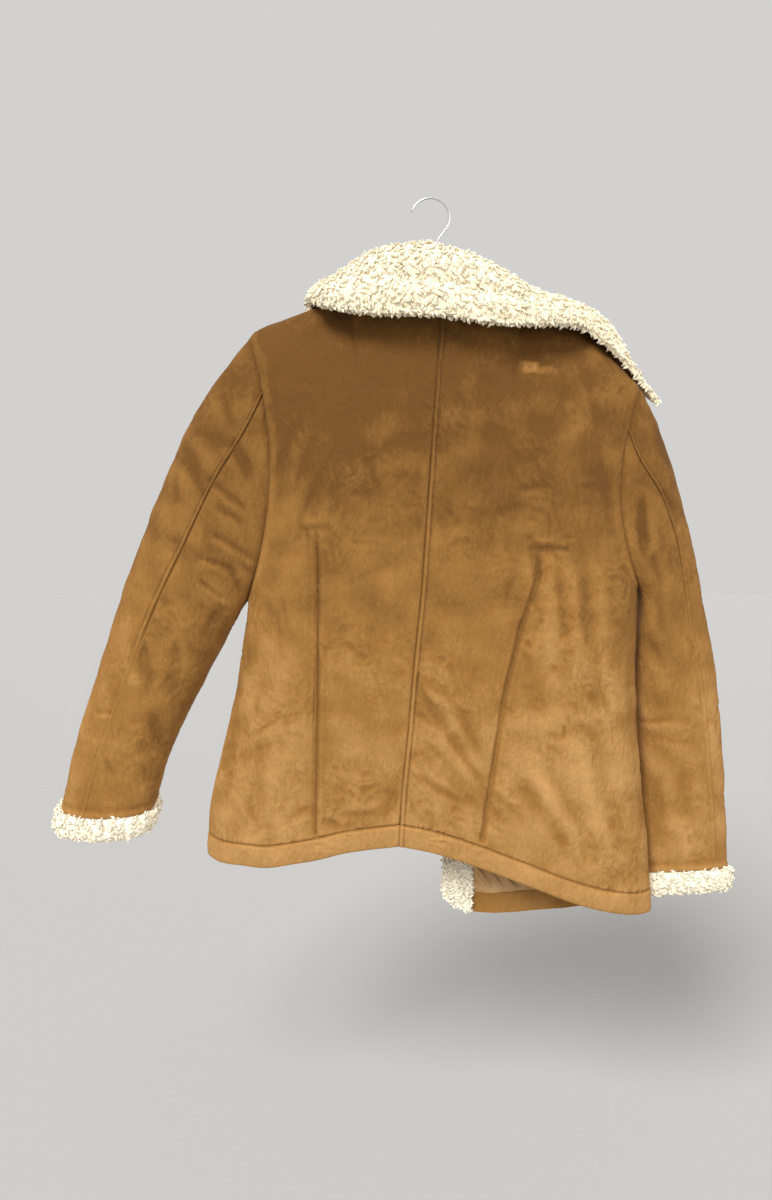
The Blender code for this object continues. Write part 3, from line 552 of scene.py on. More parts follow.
NAP_PATCHES = np.array([  # x, z, half width, half height, slant in degrees, how much lighter
    (-0.020, -0.190, 0.190, 0.070, 4, -0.20), (0.100, -0.260, 0.080, 0.050, -10, -0.10),
    (-0.085, -0.300, 0.060, 0.060, 20, -0.16), (0.140, -0.330, 0.060, 0.050, 0, -0.12),
    (0.052, -0.330, 0.050, 0.050, -15, -0.12), (-0.160, -0.210, 0.035, 0.050, 20, -0.14),
    (-0.190, -0.225, 0.010, 0.035, 12, 0.34), (-0.150, -0.215, 0.080, 0.080, 0, -0.26),
    (0.190, -0.620, 0.060, 0.110, -4, 0.16), (0.160, -0.245, 0.014, 0.010, 30, 0.30),
    (0.183, -0.228, 0.008, 0.018, -30, 0.22), (0.143, -0.262, 0.020, 0.008, 10, 0.16),
    (0.010, -0.230, 0.030, 0.060, 6, 0.08), (-0.110, -0.235, 0.030, 0.030, 0, 0.10),
    (-0.175, -0.390, 0.035, 0.080, 8, 0.13), (-0.050, -0.395, 0.060, 0.040, -30, 0.07),
    (0.118, -0.430, 0.010, 0.060, 6, 0.24), (0.145, -0.470, 0.012, 0.080, 0, 0.22),
    (0.180, -0.450, 0.020, 0.075, -3, 0.16), (0.215, -0.400, 0.018, 0.080, -4, -0.10),
    (-0.190, -0.560, 0.045, 0.120, 2, 0.15), (-0.225, -0.700, 0.050, 0.050, 10, 0.17),
    (-0.090, -0.580, 0.045, 0.090, 6, 0.06), (-0.080, -0.690, 0.050, 0.040, 0, -0.09),
    (0.020, -0.560, 0.040, 0.050, -35, -0.05), (0.050, -0.600, 0.035, 0.060, -38, 0.10),
    (0.140, -0.610, 0.050, 0.090, 5, 0.13), (0.205, -0.600, 0.022, 0.120, -4, 0.15),
    (0.175, -0.700, 0.060, 0.045, -28, 0.10), (0.235, -0.520, 0.012, 0.080, 0, -0.14),
    (-0.240, -0.600, 0.010, 0.100, 8, -0.12), (0.105, -0.540, 0.016, 0.080, -8, -0.10),
])


RUBBED_SPOTS = [  # x, z, half width, half height, how square its edge is, its top, how much lighter
    (0.110, -0.188, 0.010, 0.0058, 3, 1.6, 0.55), (0.126, -0.1905, 0.011, 0.0045, 2, 1.5, 0.25),
]


# Painted shade: given the sleeves' patches, this field also darkens the left sleeve's lower part.
def nap_and_shade_field(points, seed, patches=NAP_PATCHES):
    """How the nap lies: darker above and lighter below, plus the given patches with ragged edges.

    patch = amount * exp(-(distance in half widths)^2), the distance being pulled about by small waves.
    On the back there is also a small pale rubbed spot, with a fainter one trailing from under it."""
    x, z = points[..., 0], points[..., 2]
    ragged = points + 0.006 * pushes(points, 0.05, seed) + 0.003 * pushes(points, 0.016, seed + 5)
    rx, rz = ragged[..., 0], ragged[..., 2]
    total = 0.13 + 0.49 * np.clip((-0.22 - z) / 0.42, 0, 1)
    for px, pz, wide, high, slant, amount in patches:
        c, s = math.cos(math.radians(slant)), math.sin(math.radians(slant))
        dx, dz = (rx - px) * c + (rz - pz) * s, -(rx - px) * s + (rz - pz) * c
        total += 0.55 * amount * np.exp(-((dx / wide) ** 2 + (dz / high) ** 2))
    uncovered = (points[..., 1] < 0).astype(float)
    for sx, sz, wide, high, power, peak, amount in RUBBED_SPOTS:
        spot = np.clip(peak - np.abs((x - sx) / wide) ** power, 0, 1)
        spot = spot * np.clip(peak - np.abs((z - sz) / high) ** power, 0, 1)
        total += amount * spot * uncovered
        uncovered = uncovered * (1 - spot)
    return total + 0.018 * waves(points, 0.11, seed + 9) + 0.018 * waves(points, 0.035, seed + 10, (1, 1, 3))


def painted_groove_shade(relief):
    """Painted shade and light: how much darker the nap is coloured in a groove, and how much lighter on a
    ridge.
    """
    return 0.22 * np.clip(-relief / 0.0016, -0.6, 1)


def fine_wrinkles(points, seed, amount):
    """Soft crinkles of the bonded cloth: ridges where two slanting fields cross zero, and faint lumps."""
    warped = turned(points, 38) + 0.006 * pushes(points, 0.05, seed)
    ridged = 1 - np.abs(waves(warped, 0.017, seed + 4, (1, 1, 2.6)))
    small = 1 - np.abs(waves(warped, 0.009, seed + 5, (1, 1, 2.0)))
    lumps = waves(points, 0.045, seed + 6)
    where = np.clip(0.55 + 0.4 * waves(points, 0.12, seed + 7), 0.15, 1.0)
    return amount * where * (0.00055 * ridged + 0.00030 * small) + 0.00035 * lumps


def sunk(d, width, depth):
    """A narrow groove at distance d from its line: -depth * exp(-(d / width)^2)."""
    return -depth * np.exp(-(d / width) ** 2)


BACK_CREASES = np.array([  # from x, z to x, z, half width, depth of a trough (a ridge is negative)
    (-0.143, -0.244, -0.180, -0.309, 0.006, 0.0013), (-0.123, -0.255, -0.156, -0.332, 0.005, 0.0010),
    (-0.111, -0.282, -0.145, -0.354, 0.004, 0.0008), (-0.189, -0.200, -0.177, -0.256, 0.006, -0.0022),
    (-0.180, -0.190, -0.166, -0.262, 0.004, 0.0010), (0.105, -0.386, 0.160, -0.387, 0.0035, 0.0022),
    (0.110, -0.377, 0.150, -0.379, 0.004, -0.0012), (0.116, -0.390, 0.121, -0.444, 0.004, 0.0010),
    (0.108, -0.392, 0.112, -0.470, 0.005, -0.0012), (0.140, -0.390, 0.153, -0.495, 0.005, 0.0016),
    (0.131, -0.395, 0.139, -0.520, 0.006, -0.0016), (0.170, -0.399, 0.180, -0.505, 0.006, 0.0014),
    (0.160, -0.410, 0.168, -0.540, 0.006, -0.0014), (0.192, -0.420, 0.200, -0.560, 0.007, -0.0010),
    (-0.150, -0.364, -0.107, -0.362, 0.003, 0.0013), (-0.146, -0.357, -0.112, -0.355, 0.004, -0.0008),
    (-0.155, -0.378, -0.132, -0.367, 0.003, 0.0008), (-0.019, -0.537, 0.066, -0.674, 0.006, 0.0014),
    (-0.008, -0.530, 0.076, -0.660, 0.006, -0.0012), (-0.026, -0.646, 0.041, -0.686, 0.004, 0.0012),
    (-0.024, -0.636, 0.048, -0.678, 0.004, -0.0008), (-0.011, -0.601, 0.047, -0.667, 0.004, 0.0010),
    (-0.128, -0.708, -0.105, -0.718, 0.007, 0.0024), (-0.122, -0.700, -0.108, -0.703, 0.005, -0.0012),
    (-0.104, -0.701, -0.058, -0.698, 0.004, 0.0013), (-0.100, -0.691, -0.056, -0.688, 0.005, -0.0010),
    (-0.170, -0.706, -0.134, -0.689, 0.004, 0.0012), (-0.165, -0.716, -0.136, -0.702, 0.004, -0.0008),
    (-0.056, -0.710, -0.037, -0.668, 0.008, 0.0018), (0.130, -0.598, 0.153, -0.604, 0.006, 0.0012),
    (0.071, -0.669, 0.112, -0.706, 0.003, 0.0011), (0.079, -0.662, 0.120, -0.700, 0.003, -0.0008),
    (0.064, -0.680, 0.090, -0.712, 0.003, 0.0008), (0.019, -0.655, 0.052, -0.683, 0.003, 0.0009),
    (0.095, -0.642, 0.167, -0.748, 0.009, 0.0014), (0.112, -0.636, 0.182, -0.740, 0.008, -0.0012),
    (0.132, -0.630, 0.198, -0.750, 0.009, 0.0012), (0.183, -0.582, 0.227, -0.752, 0.010, 0.0012),
    (0.160, -0.600, 0.214, -0.752, 0.009, -0.0012), (0.185, -0.268, 0.203, -0.380, 0.006, 0.0010),
    (0.167, -0.183, 0.187, -0.262, 0.007, 0.0009), (0.222, -0.225, 0.209, -0.285, 0.005, 0.0016),
    (-0.228, -0.540, -0.240, -0.690, 0.007, 0.0010), (-0.193, -0.561, -0.211, -0.720, 0.009, 0.0008),
    (-0.089, -0.299, -0.033, -0.266, 0.006, 0.0007), (-0.054, -0.148, -0.066, -0.250, 0.010, 0.0008),
    (0.045, -0.354, 0.100, -0.338, 0.005, 0.0008), (-0.096, -0.427, -0.033, -0.399, 0.005, 0.0007),
    (-0.200, -0.440, -0.150, -0.500, 0.008, 0.0008), (0.030, -0.160, 0.036, -0.240, 0.010, 0.0007),
    (0.094, -0.320, 0.131, -0.317, 0.004, 0.0011), (0.100, -0.327, 0.128, -0.326, 0.003, -0.0007),
    (0.035, -0.341, 0.061, -0.347, 0.003, 0.0009), (0.162, -0.317, 0.205, -0.322, 0.004, 0.0012),
    (-0.020, -0.527, 0.032, -0.564, 0.006, 0.0012), (0.030, -0.562, 0.070, -0.661, 0.006, 0.0015),
    (-0.022, -0.569, 0.018, -0.598, 0.004, 0.0013), (0.014, -0.594, 0.064, -0.661, 0.004, 0.0015),
    (-0.004, -0.575, 0.048, -0.640, 0.005, -0.0010), (0.020, -0.610, 0.058, -0.668, 0.004, -0.0008),
    (-0.169, -0.439, -0.160, -0.482, 0.003, 0.0010), (-0.176, -0.455, -0.168, -0.520, 0.003, 0.0009),
    (-0.147, -0.350, -0.134, -0.380, 0.003, 0.0009), (-0.120, -0.359, -0.095, -0.397, 0.003, 0.0009),
    (0.127, -0.384, 0.158, -0.372, 0.003, 0.0011), (0.127, -0.387, 0.150, -0.400, 0.003, 0.0010),
    (0.123, -0.383, 0.103, -0.370, 0.003, 0.0010), (-0.215, -0.610, -0.175, -0.585, 0.003, 0.0010),
    (-0.205, -0.625, -0.168, -0.604, 0.003, 0.0008), (-0.170, -0.597, -0.142, -0.606, 0.003, 0.0009),
])
CENTRE_SEAM_SIDE = "right"    # the allowances are pressed and stitched down to this side
DARTS = {
    "left": ((-0.128, -0.366), (-0.126, -0.399), (-0.128, -0.522), (-0.131, -0.616), (-0.135, -0.730)),
    "right": ((0.122, -0.385), (0.120, -0.420), (0.103, -0.475), (0.086, -0.552), (0.072, -0.656),
              (0.061, -0.736)),
}
DART_WIDTH = {"left": 0.0010, "right": 0.0026}
SECOND_GROOVE_TOP, SECOND_GROOVE_OFF = -0.52, 0.0036    # the left dart's, low down and beside it
DART_REACH, DART_SLIDE = 14, 34                         # columns gathered to a dart, and moved along
HEM_TURN, WELT = 0.0275, 0.0056
PUCKER_STEP = 0.0062
BACK_HALF = {"left": 0.106, "right": 0.100}             # neck point to centre back


def off_line(x, z, line):
    """Signed distance across a line that runs down the cloth, and how far inside its two ends a point is."""
    line = np.asarray(line)[::-1]
    at = np.interp(z, line[:, 1], line[:, 0])
    lean = np.gradient(line[:, 0], line[:, 1])
    across = (x - at) / np.sqrt(1 + np.interp(z, line[:, 1], lean) ** 2)
    inside = np.clip((line[-1, 1] - z) / 0.02, 0, 1) * np.clip((z - line[0, 1]) / 0.006, 0, 1)
    return across, inside


def on_grid(grid, row, col):
    """Points of a grid between its points, by their row and column numbers with fractions."""
    row, col = np.clip(row, 0, grid.shape[0] - 1.001), np.clip(col, 0, grid.shape[1] - 1.001)
    i, j = row.astype(int), col.astype(int)
    u, v = (row - i)[..., None], (col - j)[..., None]
    return (grid[i, j] * (1 - u) * (1 - v) + grid[i, j + 1] * (1 - u) * v
            + grid[i + 1, j] * u * (1 - v) + grid[i + 1, j + 1] * u * v)


def gathered(grid, line):
    """Slides a panel's columns along its rows, so that one runs down a dart and the next ones lie close.

    A column that lies o columns from the dart's goes to o * (0.35 + 0.65 * |o| / DART_REACH)."""
    line = np.asarray(line)[::-1]
    off = grid[..., 0] - np.interp(grid[..., 2], line[:, 1], line[:, 0])
    off = off * np.sign(off[0, -1])
    column = np.arange(grid.shape[1], dtype=float)
    crossing = np.array([np.interp(0, row, column) for row in off])
    level = on_grid(grid, np.arange(len(grid), dtype=float), crossing)[:, 2]
    fade = np.clip((line[-1, 1] + 0.06 - level) / 0.05, 0, 1)[:, None]
    fade = fade * fade * (3 - 2 * fade)
    target = round(crossing[level < line[-1, 1]].mean())
    o = column - target
    closer = np.where(np.abs(o) < DART_REACH, o * (0.35 + 0.65 * np.abs(o) / DART_REACH) - o, 0)
    slide = np.clip(1 - (o / DART_SLIDE) ** 2, 0, 1) ** 2
    moved = column + fade * ((crossing[:, None] - target) * slide + closer)
    rows = np.broadcast_to(np.arange(len(grid), dtype=float)[:, None], moved.shape)
    return np.where(fade[..., None] > 0, on_grid(grid, rows, moved), grid)


def hem_relief(up, along, seed):
    """The turned-up hem: a groove at its stitching, a padded band below it, and short puckers across it."""
    drift = waves(np.stack([along, up * 0.3, up * 0], -1), 0.05, seed)
    puckers = np.sin(along / PUCKER_STEP * 2 * math.pi + 3 * drift)
    strength = np.clip(waves(np.stack([along, up * 0, up * 0], -1), 0.09, seed + 1), 0, 1.4)
    near = np.exp(-((up - HEM_TURN) / 0.008) ** 2)
    band = 0.0016 * np.clip(np.sin(np.clip(up / HEM_TURN, 0, 1) * math.pi), 0, 1) ** 0.5
    return sunk(up - HEM_TURN, 0.0015, 0.0018) + band + 0.00055 * near * strength * puckers


def spaced(first, *runs):
    """Distances that grow by a step up to each limit in turn: (step, limit), ..."""
    marks = [first]
    for step, limit in runs:
        count = max(1, round((limit - marks[-1]) / step))
        marks.extend(np.linspace(marks[-1], limit, count + 1)[1:])
    return np.array(marks)


def even_count(marks):
    """The same list with one mark added at the middle if its steps are odd in number."""
    half = len(marks) // 2
    return marks if len(marks) % 2 else np.insert(marks, half, marks[half - 1:half + 1].mean())


stitch_lines = []      # (points, normals) of each row of topstitching


def stitch_where(grid, normals, distance, at, rows, by_row=True):
    """Keeps the line on a grid where a distance field passes a value, one point for each row (or column)."""
    d = distance if by_row else distance.T
    lines = []
    for i in rows:
        j = np.argmax(np.abs(np.diff(np.sign(d[i] - at))) > 0)
        part = (at - d[i, j]) / (d[i, j + 1] - d[i, j] + 1e-12)
        lines.append((i, j + np.clip(part, 0, 1)))
    i, j = np.array(lines, float).T
    row, col = (i, j) if by_row else (j, i)
    stitch_lines.append((on_grid(grid, row, col), unit(on_grid(normals, row, col))))


BACK_ARM_ROWS, BACK_NEAR_COLS = 118, 74
skirt_length = 0.325
skirt_shares = even_count(spaced(0, (0.0011, 0.0330), (0.0026, skirt_length)) / skirt_length)[:-1]
for side, sign in (("left", 1), ("right", -1)):
    half = BACK_HALF[side]
    far = 1 - even_count(spaced(0, (0.0007, 0.0112), (0.0026, half)))[::-1] / half
    base = panel_grid(side, False, skirt_shares, BACK_ARM_ROWS, BACK_NEAR_COLS, far[1:])
    base = gathered(eased(base, len(skirt_shares)), DARTS[side])
    normals = face_normals(base, sign)
    x, z = base[..., 0], base[..., 2]
    up = run_from(base, 0)
    from_side = run_from(base, 1)
    from_middle = run_from(base, 1, end=True)
    above_pit = np.clip((z - base[len(skirt_shares), :1, 2]) / 0.02, 0, 1)
    from_top = run_from(base, 0, end=True)
    calm = np.clip(np.minimum(np.minimum(from_side, from_middle), from_top) / 0.006, 0, 1)
    relief = fine_wrinkles(base, 11, 1.0) * calm * np.clip((up - 0.002) / 0.01, 0, 1)
    relief -= creases(x, z, BACK_CREASES) * calm * np.clip((up - 0.004) / 0.03, 0, 1)
    relief += hem_relief(up, x, 31) * np.clip(from_side / 0.01, 0, 1)
    relief += sunk(from_middle, 0.0011, 0.0014)
    if side == CENTRE_SEAM_SIDE:
        relief += 0.0010 * np.exp(-((from_middle - WELT / 2) / 0.0020) ** 2)
        relief += sunk(from_middle - WELT, 0.0011, 0.0012)
    off, on_dart = off_line(x, z, DARTS[side])
    dart = sunk(off, DART_WIDTH[side], 0.0017)
    if side == "left":
        low = np.clip((SECOND_GROOVE_TOP - z) / 0.03, 0, 1)
        dart = dart + low * sunk(off + SECOND_GROOVE_OFF, 0.0009, 0.0009)
    dart = dart + sunk(off, 0.008, 0.0012) + 0.0008 * np.exp(-((np.abs(off) - 0.0052) / 0.0020) ** 2)
    relief += on_dart * dart
    relief += above_pit * (sunk(from_side, 0.0020, 0.0004)
                           + 0.0012 * np.exp(-((from_side - 0.0070) / 0.0052) ** 2))
    made = base + normals * relief[..., None]
    inside = base - normals * (SUEDE_WALL - lowest(relief))[..., None]
    piece = closed_shell(f"{side}_back", made, inside, [suede, satin], sign < 0)
    # The nap field takes painted shade in the grooves and painted light on the ridges.
    add_field(piece, "nap", nap_and_shade_field(base, 71) - painted_groove_shade(relief))
    shown = face_normals(made, sign)
    rows = np.arange(2, base.shape[0] - 1)
    if side == CENTRE_SEAM_SIDE:
        stitch_where(made, shown, from_middle, WELT, rows)
    stitch_where(made, shown, up, HEM_TURN, np.arange(2, base.shape[1] - 1), by_row=False)
    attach(piece, "root")
    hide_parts(f"back_{side}")

# --------------------------------------------------------------------------- the sleeves
# Each sleeve is a top and an under sleeve, joined by a back seam with a row of stitching beside it and by
# a plain front seam. They hang from the armhole, a little bent, with short creases at the elbow and under
# the arm, and a soft band where the end is turned in above the cuff.
BACK_SEAM = {  # share of the sleeve's length, degrees round from the outer edge
    "left": ((0.0, 56), (0.055, 67), (0.14, 77), (0.25, 79), (0.40, 75), (0.53, 73), (0.73, 72), (1.0, 67)),
    "right": ((0.0, 55), (0.04, 64), (0.085, 68), (0.175, 66), (0.245, 62), (0.49, 64), (1.0, 56)),
}
BACK_SEAM_ANGLE = 75.0     # about where the back seam lies, in degrees
FRONT_SEAM = -120.0        # degrees, negative on the front
SEAM_STITCH = 0.006        # from the back seam to the row of stitching beside it
SLEEVE_ROWS = 150
SLEEVE_CREASES = {  # on the back: x, z to x, z, half width, depth
    "left": np.array([
        (-0.250, -0.366, -0.196, -0.402, 0.0026, 0.0024), (-0.248, -0.376, -0.200, -0.411, 0.0040, -0.0014),
        (-0.268, -0.392, -0.222, -0.412, 0.0024, 0.0020), (-0.262, -0.401, -0.228, -0.420, 0.0036, -0.0012),
        (-0.264, -0.420, -0.236, -0.447, 0.0028, 0.0022), (-0.258, -0.432, -0.228, -0.457, 0.0040, -0.0012),
        (-0.230, -0.403, -0.217, -0.440, 0.0032, 0.0018), (-0.300, -0.373, -0.284, -0.380, 0.0030, 0.0016),
        (-0.252, -0.305, -0.208, -0.342, 0.0040, 0.0020), (-0.246, -0.316, -0.212, -0.348, 0.0036, -0.0014),
        (-0.224, -0.262, -0.200, -0.306, 0.0050, 0.0020), (-0.234, -0.268, -0.214, -0.306, 0.0045, -0.0014),
        (-0.290, -0.298, -0.287, -0.338, 0.0050, 0.0014), (-0.251, -0.259, -0.227, -0.273, 0.0036, 0.0014),
        (-0.242, -0.338, -0.206, -0.360, 0.0036, 0.0020), (-0.271, -0.292, -0.253, -0.329, 0.0040, 0.0014),
        (-0.236, -0.451, -0.266, -0.490, 0.0060, 0.0016), (-0.222, -0.393, -0.204, -0.420, 0.0032, 0.0018),
        (-0.335, -0.488, -0.326, -0.562, 0.0090, 0.0014), (-0.288, -0.486, -0.304, -0.562, 0.0080, 0.0012),
        (-0.327, -0.577, -0.317, -0.634, 0.0080, 0.0014), (-0.396, -0.579, -0.367, -0.5805, 0.0014, 0.0018),
        (-0.396, -0.584, -0.368, -0.5855, 0.0026, -0.0010), (-0.354, -0.397, -0.329, -0.350, 0.0080, 0.0014),
        (-0.236, -0.210, -0.217, -0.258, 0.0060, 0.0014), (-0.268, -0.262, -0.246, -0.300, 0.0060, -0.0012),
        (-0.310, -0.430, -0.296, -0.470, 0.0050, 0.0010), (-0.360, -0.470, -0.346, -0.540, 0.0080, -0.0010),
    ]),
    "right": np.array([
        (0.237, -0.330, 0.242, -0.400, 0.0060, 0.0026), (0.246, -0.320, 0.252, -0.392, 0.0060, -0.0016),
        (0.259, -0.321, 0.279, -0.350, 0.0036, 0.0016), (0.252, -0.330, 0.268, -0.358, 0.0036, -0.0010),
        (0.261, -0.442, 0.270, -0.492, 0.0050, 0.0014), (0.251, -0.488, 0.275, -0.530, 0.0050, 0.0014),
        (0.248, -0.600, 0.294, -0.592, 0.0030, 0.0016), (0.250, -0.606, 0.290, -0.599, 0.0036, -0.0009),
        (0.255, -0.615, 0.318, -0.624, 0.0036, 0.0010), (0.299, -0.488, 0.313, -0.530, 0.0040, 0.0014),
        (0.249, -0.396, 0.266, -0.434, 0.0050, 0.0016), (0.300, -0.640, 0.306, -0.720, 0.0090, 0.0010),
        (0.270, -0.660, 0.280, -0.760, 0.0090, 0.0010), (0.320, -0.400, 0.326, -0.480, 0.0060, 0.0012),
        (0.256, -0.250, 0.270, -0.300, 0.0060, 0.0012), (0.330, -0.560, 0.340, -0.640, 0.0080, -0.0010),
    ]),
}
FRONT_SLEEVE_CREASES = {  # the same on the hidden side, of our own making
    "left": np.array([
        (-0.262, -0.350, -0.205, -0.392, 0.0040, 0.0024), (-0.266, -0.362, -0.214, -0.400, 0.0045, -0.0014),
        (-0.275, -0.400, -0.222, -0.428, 0.0036, 0.0022), (-0.300, -0.430, -0.232, -0.462, 0.0040, 0.0018),
        (-0.298, -0.440, -0.236, -0.470, 0.0045, -0.0012), (-0.240, -0.270, -0.214, -0.330, 0.0060, 0.0016),
        (-0.290, -0.290, -0.262, -0.340, 0.0070, 0.0014), (-0.330, -0.500, -0.300, -0.570, 0.0090, 0.0014),
        (-0.370, -0.560, -0.350, -0.650, 0.0100, 0.0012), (-0.330, -0.620, -0.318, -0.680, 0.0080, 0.0012),
    ]),
    "right": np.array([
        (0.270, -0.360, 0.248, -0.420, 0.0050, 0.0022), (0.282, -0.365, 0.258, -0.430, 0.0045, -0.0014),
        (0.300, -0.420, 0.256, -0.470, 0.0040, 0.0020), (0.310, -0.450, 0.262, -0.490, 0.0045, -0.0012),
        (0.318, -0.480, 0.264, -0.520, 0.0040, 0.0016), (0.258, -0.270, 0.262, -0.330, 0.0060, 0.0014),
        (0.300, -0.560, 0.306, -0.660, 0.0100, 0.0012), (0.330, -0.620, 0.336, -0.720, 0.0100, 0.0012),
    ]),
}
SLEEVE_PATCHES = np.array([  # x, z, half width, half height, slant in degrees, how much lighter
    (-0.330, -0.420, 0.050, 0.160, -24, 0.02), (-0.310, -0.560, 0.014, 0.100, -25, -0.16),
    (-0.365, -0.600, 0.030, 0.120, -18, 0.14), (-0.400, -0.560, 0.020, 0.100, -18, 0.10),
    (-0.385, -0.650, 0.020, 0.040, -16, -0.12), (-0.240, -0.300, 0.020, 0.080, -20, -0.08),
    (-0.420, -0.660, 0.012, 0.050, -14, 0.10), (-0.300, -0.320, 0.020, 0.060, -30, 0.08),
    (0.270, -0.280, 0.018, 0.060, 12, -0.12), (0.300, -0.400, 0.020, 0.090, 10, 0.12),
    (0.280, -0.520, 0.012, 0.100, 6, -0.12), (0.330, -0.560, 0.020, 0.090, 8, 0.12),
    (0.305, -0.690, 0.030, 0.028, 5, -0.20), (0.340, -0.640, 0.020, 0.060, 6, 0.08),
    # Painted shade: these two rows darken the left sleeve's lower part towards its inner edge, where it
    # turns away from the light.
    (-0.380, -0.660, 0.060, 0.110, -18, -0.38), (-0.300, -0.590, 0.018, 0.110, -24, -0.40),
    (0.320, -0.740, 0.060, 0.060, 4, 0.12), (0.300, -0.630, 0.010, 0.080, 4, 0.06),
])


RING_STEPS = 1441


def signed(angle):
    """An angle past the sleeve's inner edge counts back from its outer edge round the front."""
    return np.where(angle > 180, angle - 360, angle)


def sleeve_part(side, start, end, fine_at):
    """Part of a sleeve: rows from the armhole to its end, columns evenly spaced round it.

    Angles are in degrees from the outer edge, positive on the back. The edge on the back seam follows
    that seam's own angle at each row, and its neighbours follow it less and less."""
    dense = np.linspace(start, end, RING_STEPS)
    ring = sleeve_ring(side, 0.45, np.radians(np.abs(signed(dense))), signed(dense) < 0)
    run = run_along(ring)
    marks = even_count(spaced(0, (0.0008, 0.0104), (0.0031, run[-1])))
    if fine_at == "end":
        marks = run[-1] - marks[::-1]
    angle = np.interp(marks, run, dense)
    share = np.linspace(0, 1, SLEEVE_ROWS + 1)
    seam = smooth(BACK_SEAM[side], share)[:, 0]
    pull = np.clip(1 - np.abs(angle - BACK_SEAM_ANGLE) / 60.0, 0, 1) ** 2
    angles = signed(angle[None] + (seam - BACK_SEAM_ANGLE)[:, None] * pull[None])
    grid = np.stack([sleeve_ring(side, s, np.radians(np.abs(a)), a < 0) for s, a in zip(share, angles)])
    return grid, angles, share


def fade_of_seam(side, share):
    """How far the back seam has sunk into the nap: the lower half most, the left one's end a little less."""
    if side == "left":
        again = 0.35 * np.clip((share - 0.85) / 0.10, 0, 1)
        return 0.85 * np.clip((share - 0.42) / 0.12, 0, 1) * (1 - again)
    return 0.80 * np.clip((share - 0.25) / 0.25, 0, 1)


for side, sign in (("left", -1), ("right", 1)):
    for name, start, end, fine_at in (("top", FRONT_SEAM, BACK_SEAM_ANGLE, "end"),
                                      ("under", BACK_SEAM_ANGLE, 360 + FRONT_SEAM, "start")):
        base, angle, share = sleeve_part(side, start, end, fine_at)
        normals = face_normals(base, sign)
        x, z = base[..., 0], base[..., 2]
        from_hole, from_end = run_from(base, 0), run_from(base, 0, end=True)
        from_seam = run_from(base, 1, end=fine_at == "end")
        from_front = run_from(base, 1, end=fine_at == "start")
        calm = np.clip(np.minimum(np.minimum(from_seam, from_front), from_hole) / 0.006, 0, 1)
        relief = fine_wrinkles(base, 23, 1.0) * calm * np.clip(from_end / 0.006, 0, 1)
        relief -= np.where(angle > 0, creases(x, z, SLEEVE_CREASES[side]),
                           creases(x, z, FRONT_SLEEVE_CREASES[side])) * calm
        relief += sunk(from_hole, 0.0055, 0.0006) * np.clip(np.abs(angle) / 40, 0, 1)
        plain = 1 - fade_of_seam(side, share)[:, None]
        relief += plain * sunk(from_seam, 0.0011, 0.0014) + sunk(from_front, 0.0012, 0.0008)
        if name == "top":
            relief += plain * (0.0009 * np.exp(-((from_seam - 0.0030) / 0.0021) ** 2)
                               + sunk(from_seam - SEAM_STITCH, 0.0011, 0.0010))
        relief += sunk(from_end - 0.010, 0.004, 0.0008) + 0.0008 * np.exp(-((from_end - 0.004) / 0.003) ** 2)
        made = base + normals * relief[..., None]
        inside = base - normals * (SUEDE_WALL - lowest(relief))[..., None]
        piece = closed_shell(f"{side}_{name}_sleeve", made, inside, [suede, satin], sign < 0)
        # The nap field takes painted shade in the grooves and painted light on the ridges, and from its
        # patches painted shade on the left sleeve's lower part.
        add_field(piece, "nap", nap_and_shade_field(base, 83, SLEEVE_PATCHES) - painted_groove_shade(relief))
        if name == "top":
            shown = face_normals(made, sign)
            stitch_where(made, shown, from_seam, SEAM_STITCH, np.arange(1, base.shape[0] - 1))
        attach(piece, "root")
        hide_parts(f"sleeve_{side}_{name}")

# --------------------------------------------------------------------------- the fronts
# Two fronts with their lapels turned back from the roll line. The jacket hangs open. Each front's lower
# corner is rounded off, and the fold of the turned lapel is soft.
EDGE_WIDTH, LAPEL_WIDTH, ROLL_R = 0.012, 0.112, 0.0055
LAPEL_DROP = {"left": 0.22, "right": 0.42}
BREAK_BELOW, BREAK_ABOVE = 0.045, 0.085
CORNER = 0.022             # radius of the lower front corners
EDGE_STITCH = 0.006
FRONT_ARM_ROWS, FRONT_NEAR_COLS, STRIP_COLS, LAPEL_COLS = 76, 44, 16, 30
FRONT_CREASES = {
    "left": np.array([
        (-0.200, -0.260, -0.150, -0.350, 0.008, 0.0016), (-0.175, -0.220, -0.130, -0.300, 0.007, 0.0012),
        (-0.180, -0.420, -0.190, -0.600, 0.010, 0.0012), (-0.140, -0.400, -0.150, -0.560, 0.009, -0.0012),
        (-0.110, -0.500, -0.120, -0.700, 0.010, 0.0012), (-0.210, -0.560, -0.230, -0.720, 0.010, 0.0014),
        (-0.170, -0.620, -0.185, -0.750, 0.010, -0.0012), (-0.120, -0.300, -0.090, -0.380, 0.008, 0.0010),
    ]),
    "right": np.array([
        (0.215, -0.280, 0.170, -0.360, 0.008, 0.0016), (0.190, -0.240, 0.150, -0.320, 0.007, 0.0012),
        (0.205, -0.430, 0.210, -0.620, 0.010, 0.0012), (0.160, -0.420, 0.160, -0.600, 0.010, -0.0012),
        (0.110, -0.520, 0.105, -0.760, 0.011, 0.0012), (0.235, -0.560, 0.240, -0.760, 0.010, 0.0014),
        (0.190, -0.640, 0.190, -0.800, 0.010, -0.0012), (0.130, -0.300, 0.110, -0.400, 0.008, 0.0010),
    ]),
}


def strip_at(side):
    """Where the strip beside the roll line starts, as a share from the neck point to that line."""
    return (STRIP_SHARE - NECK_SHARE[side]) / (1 - NECK_SHARE[side])


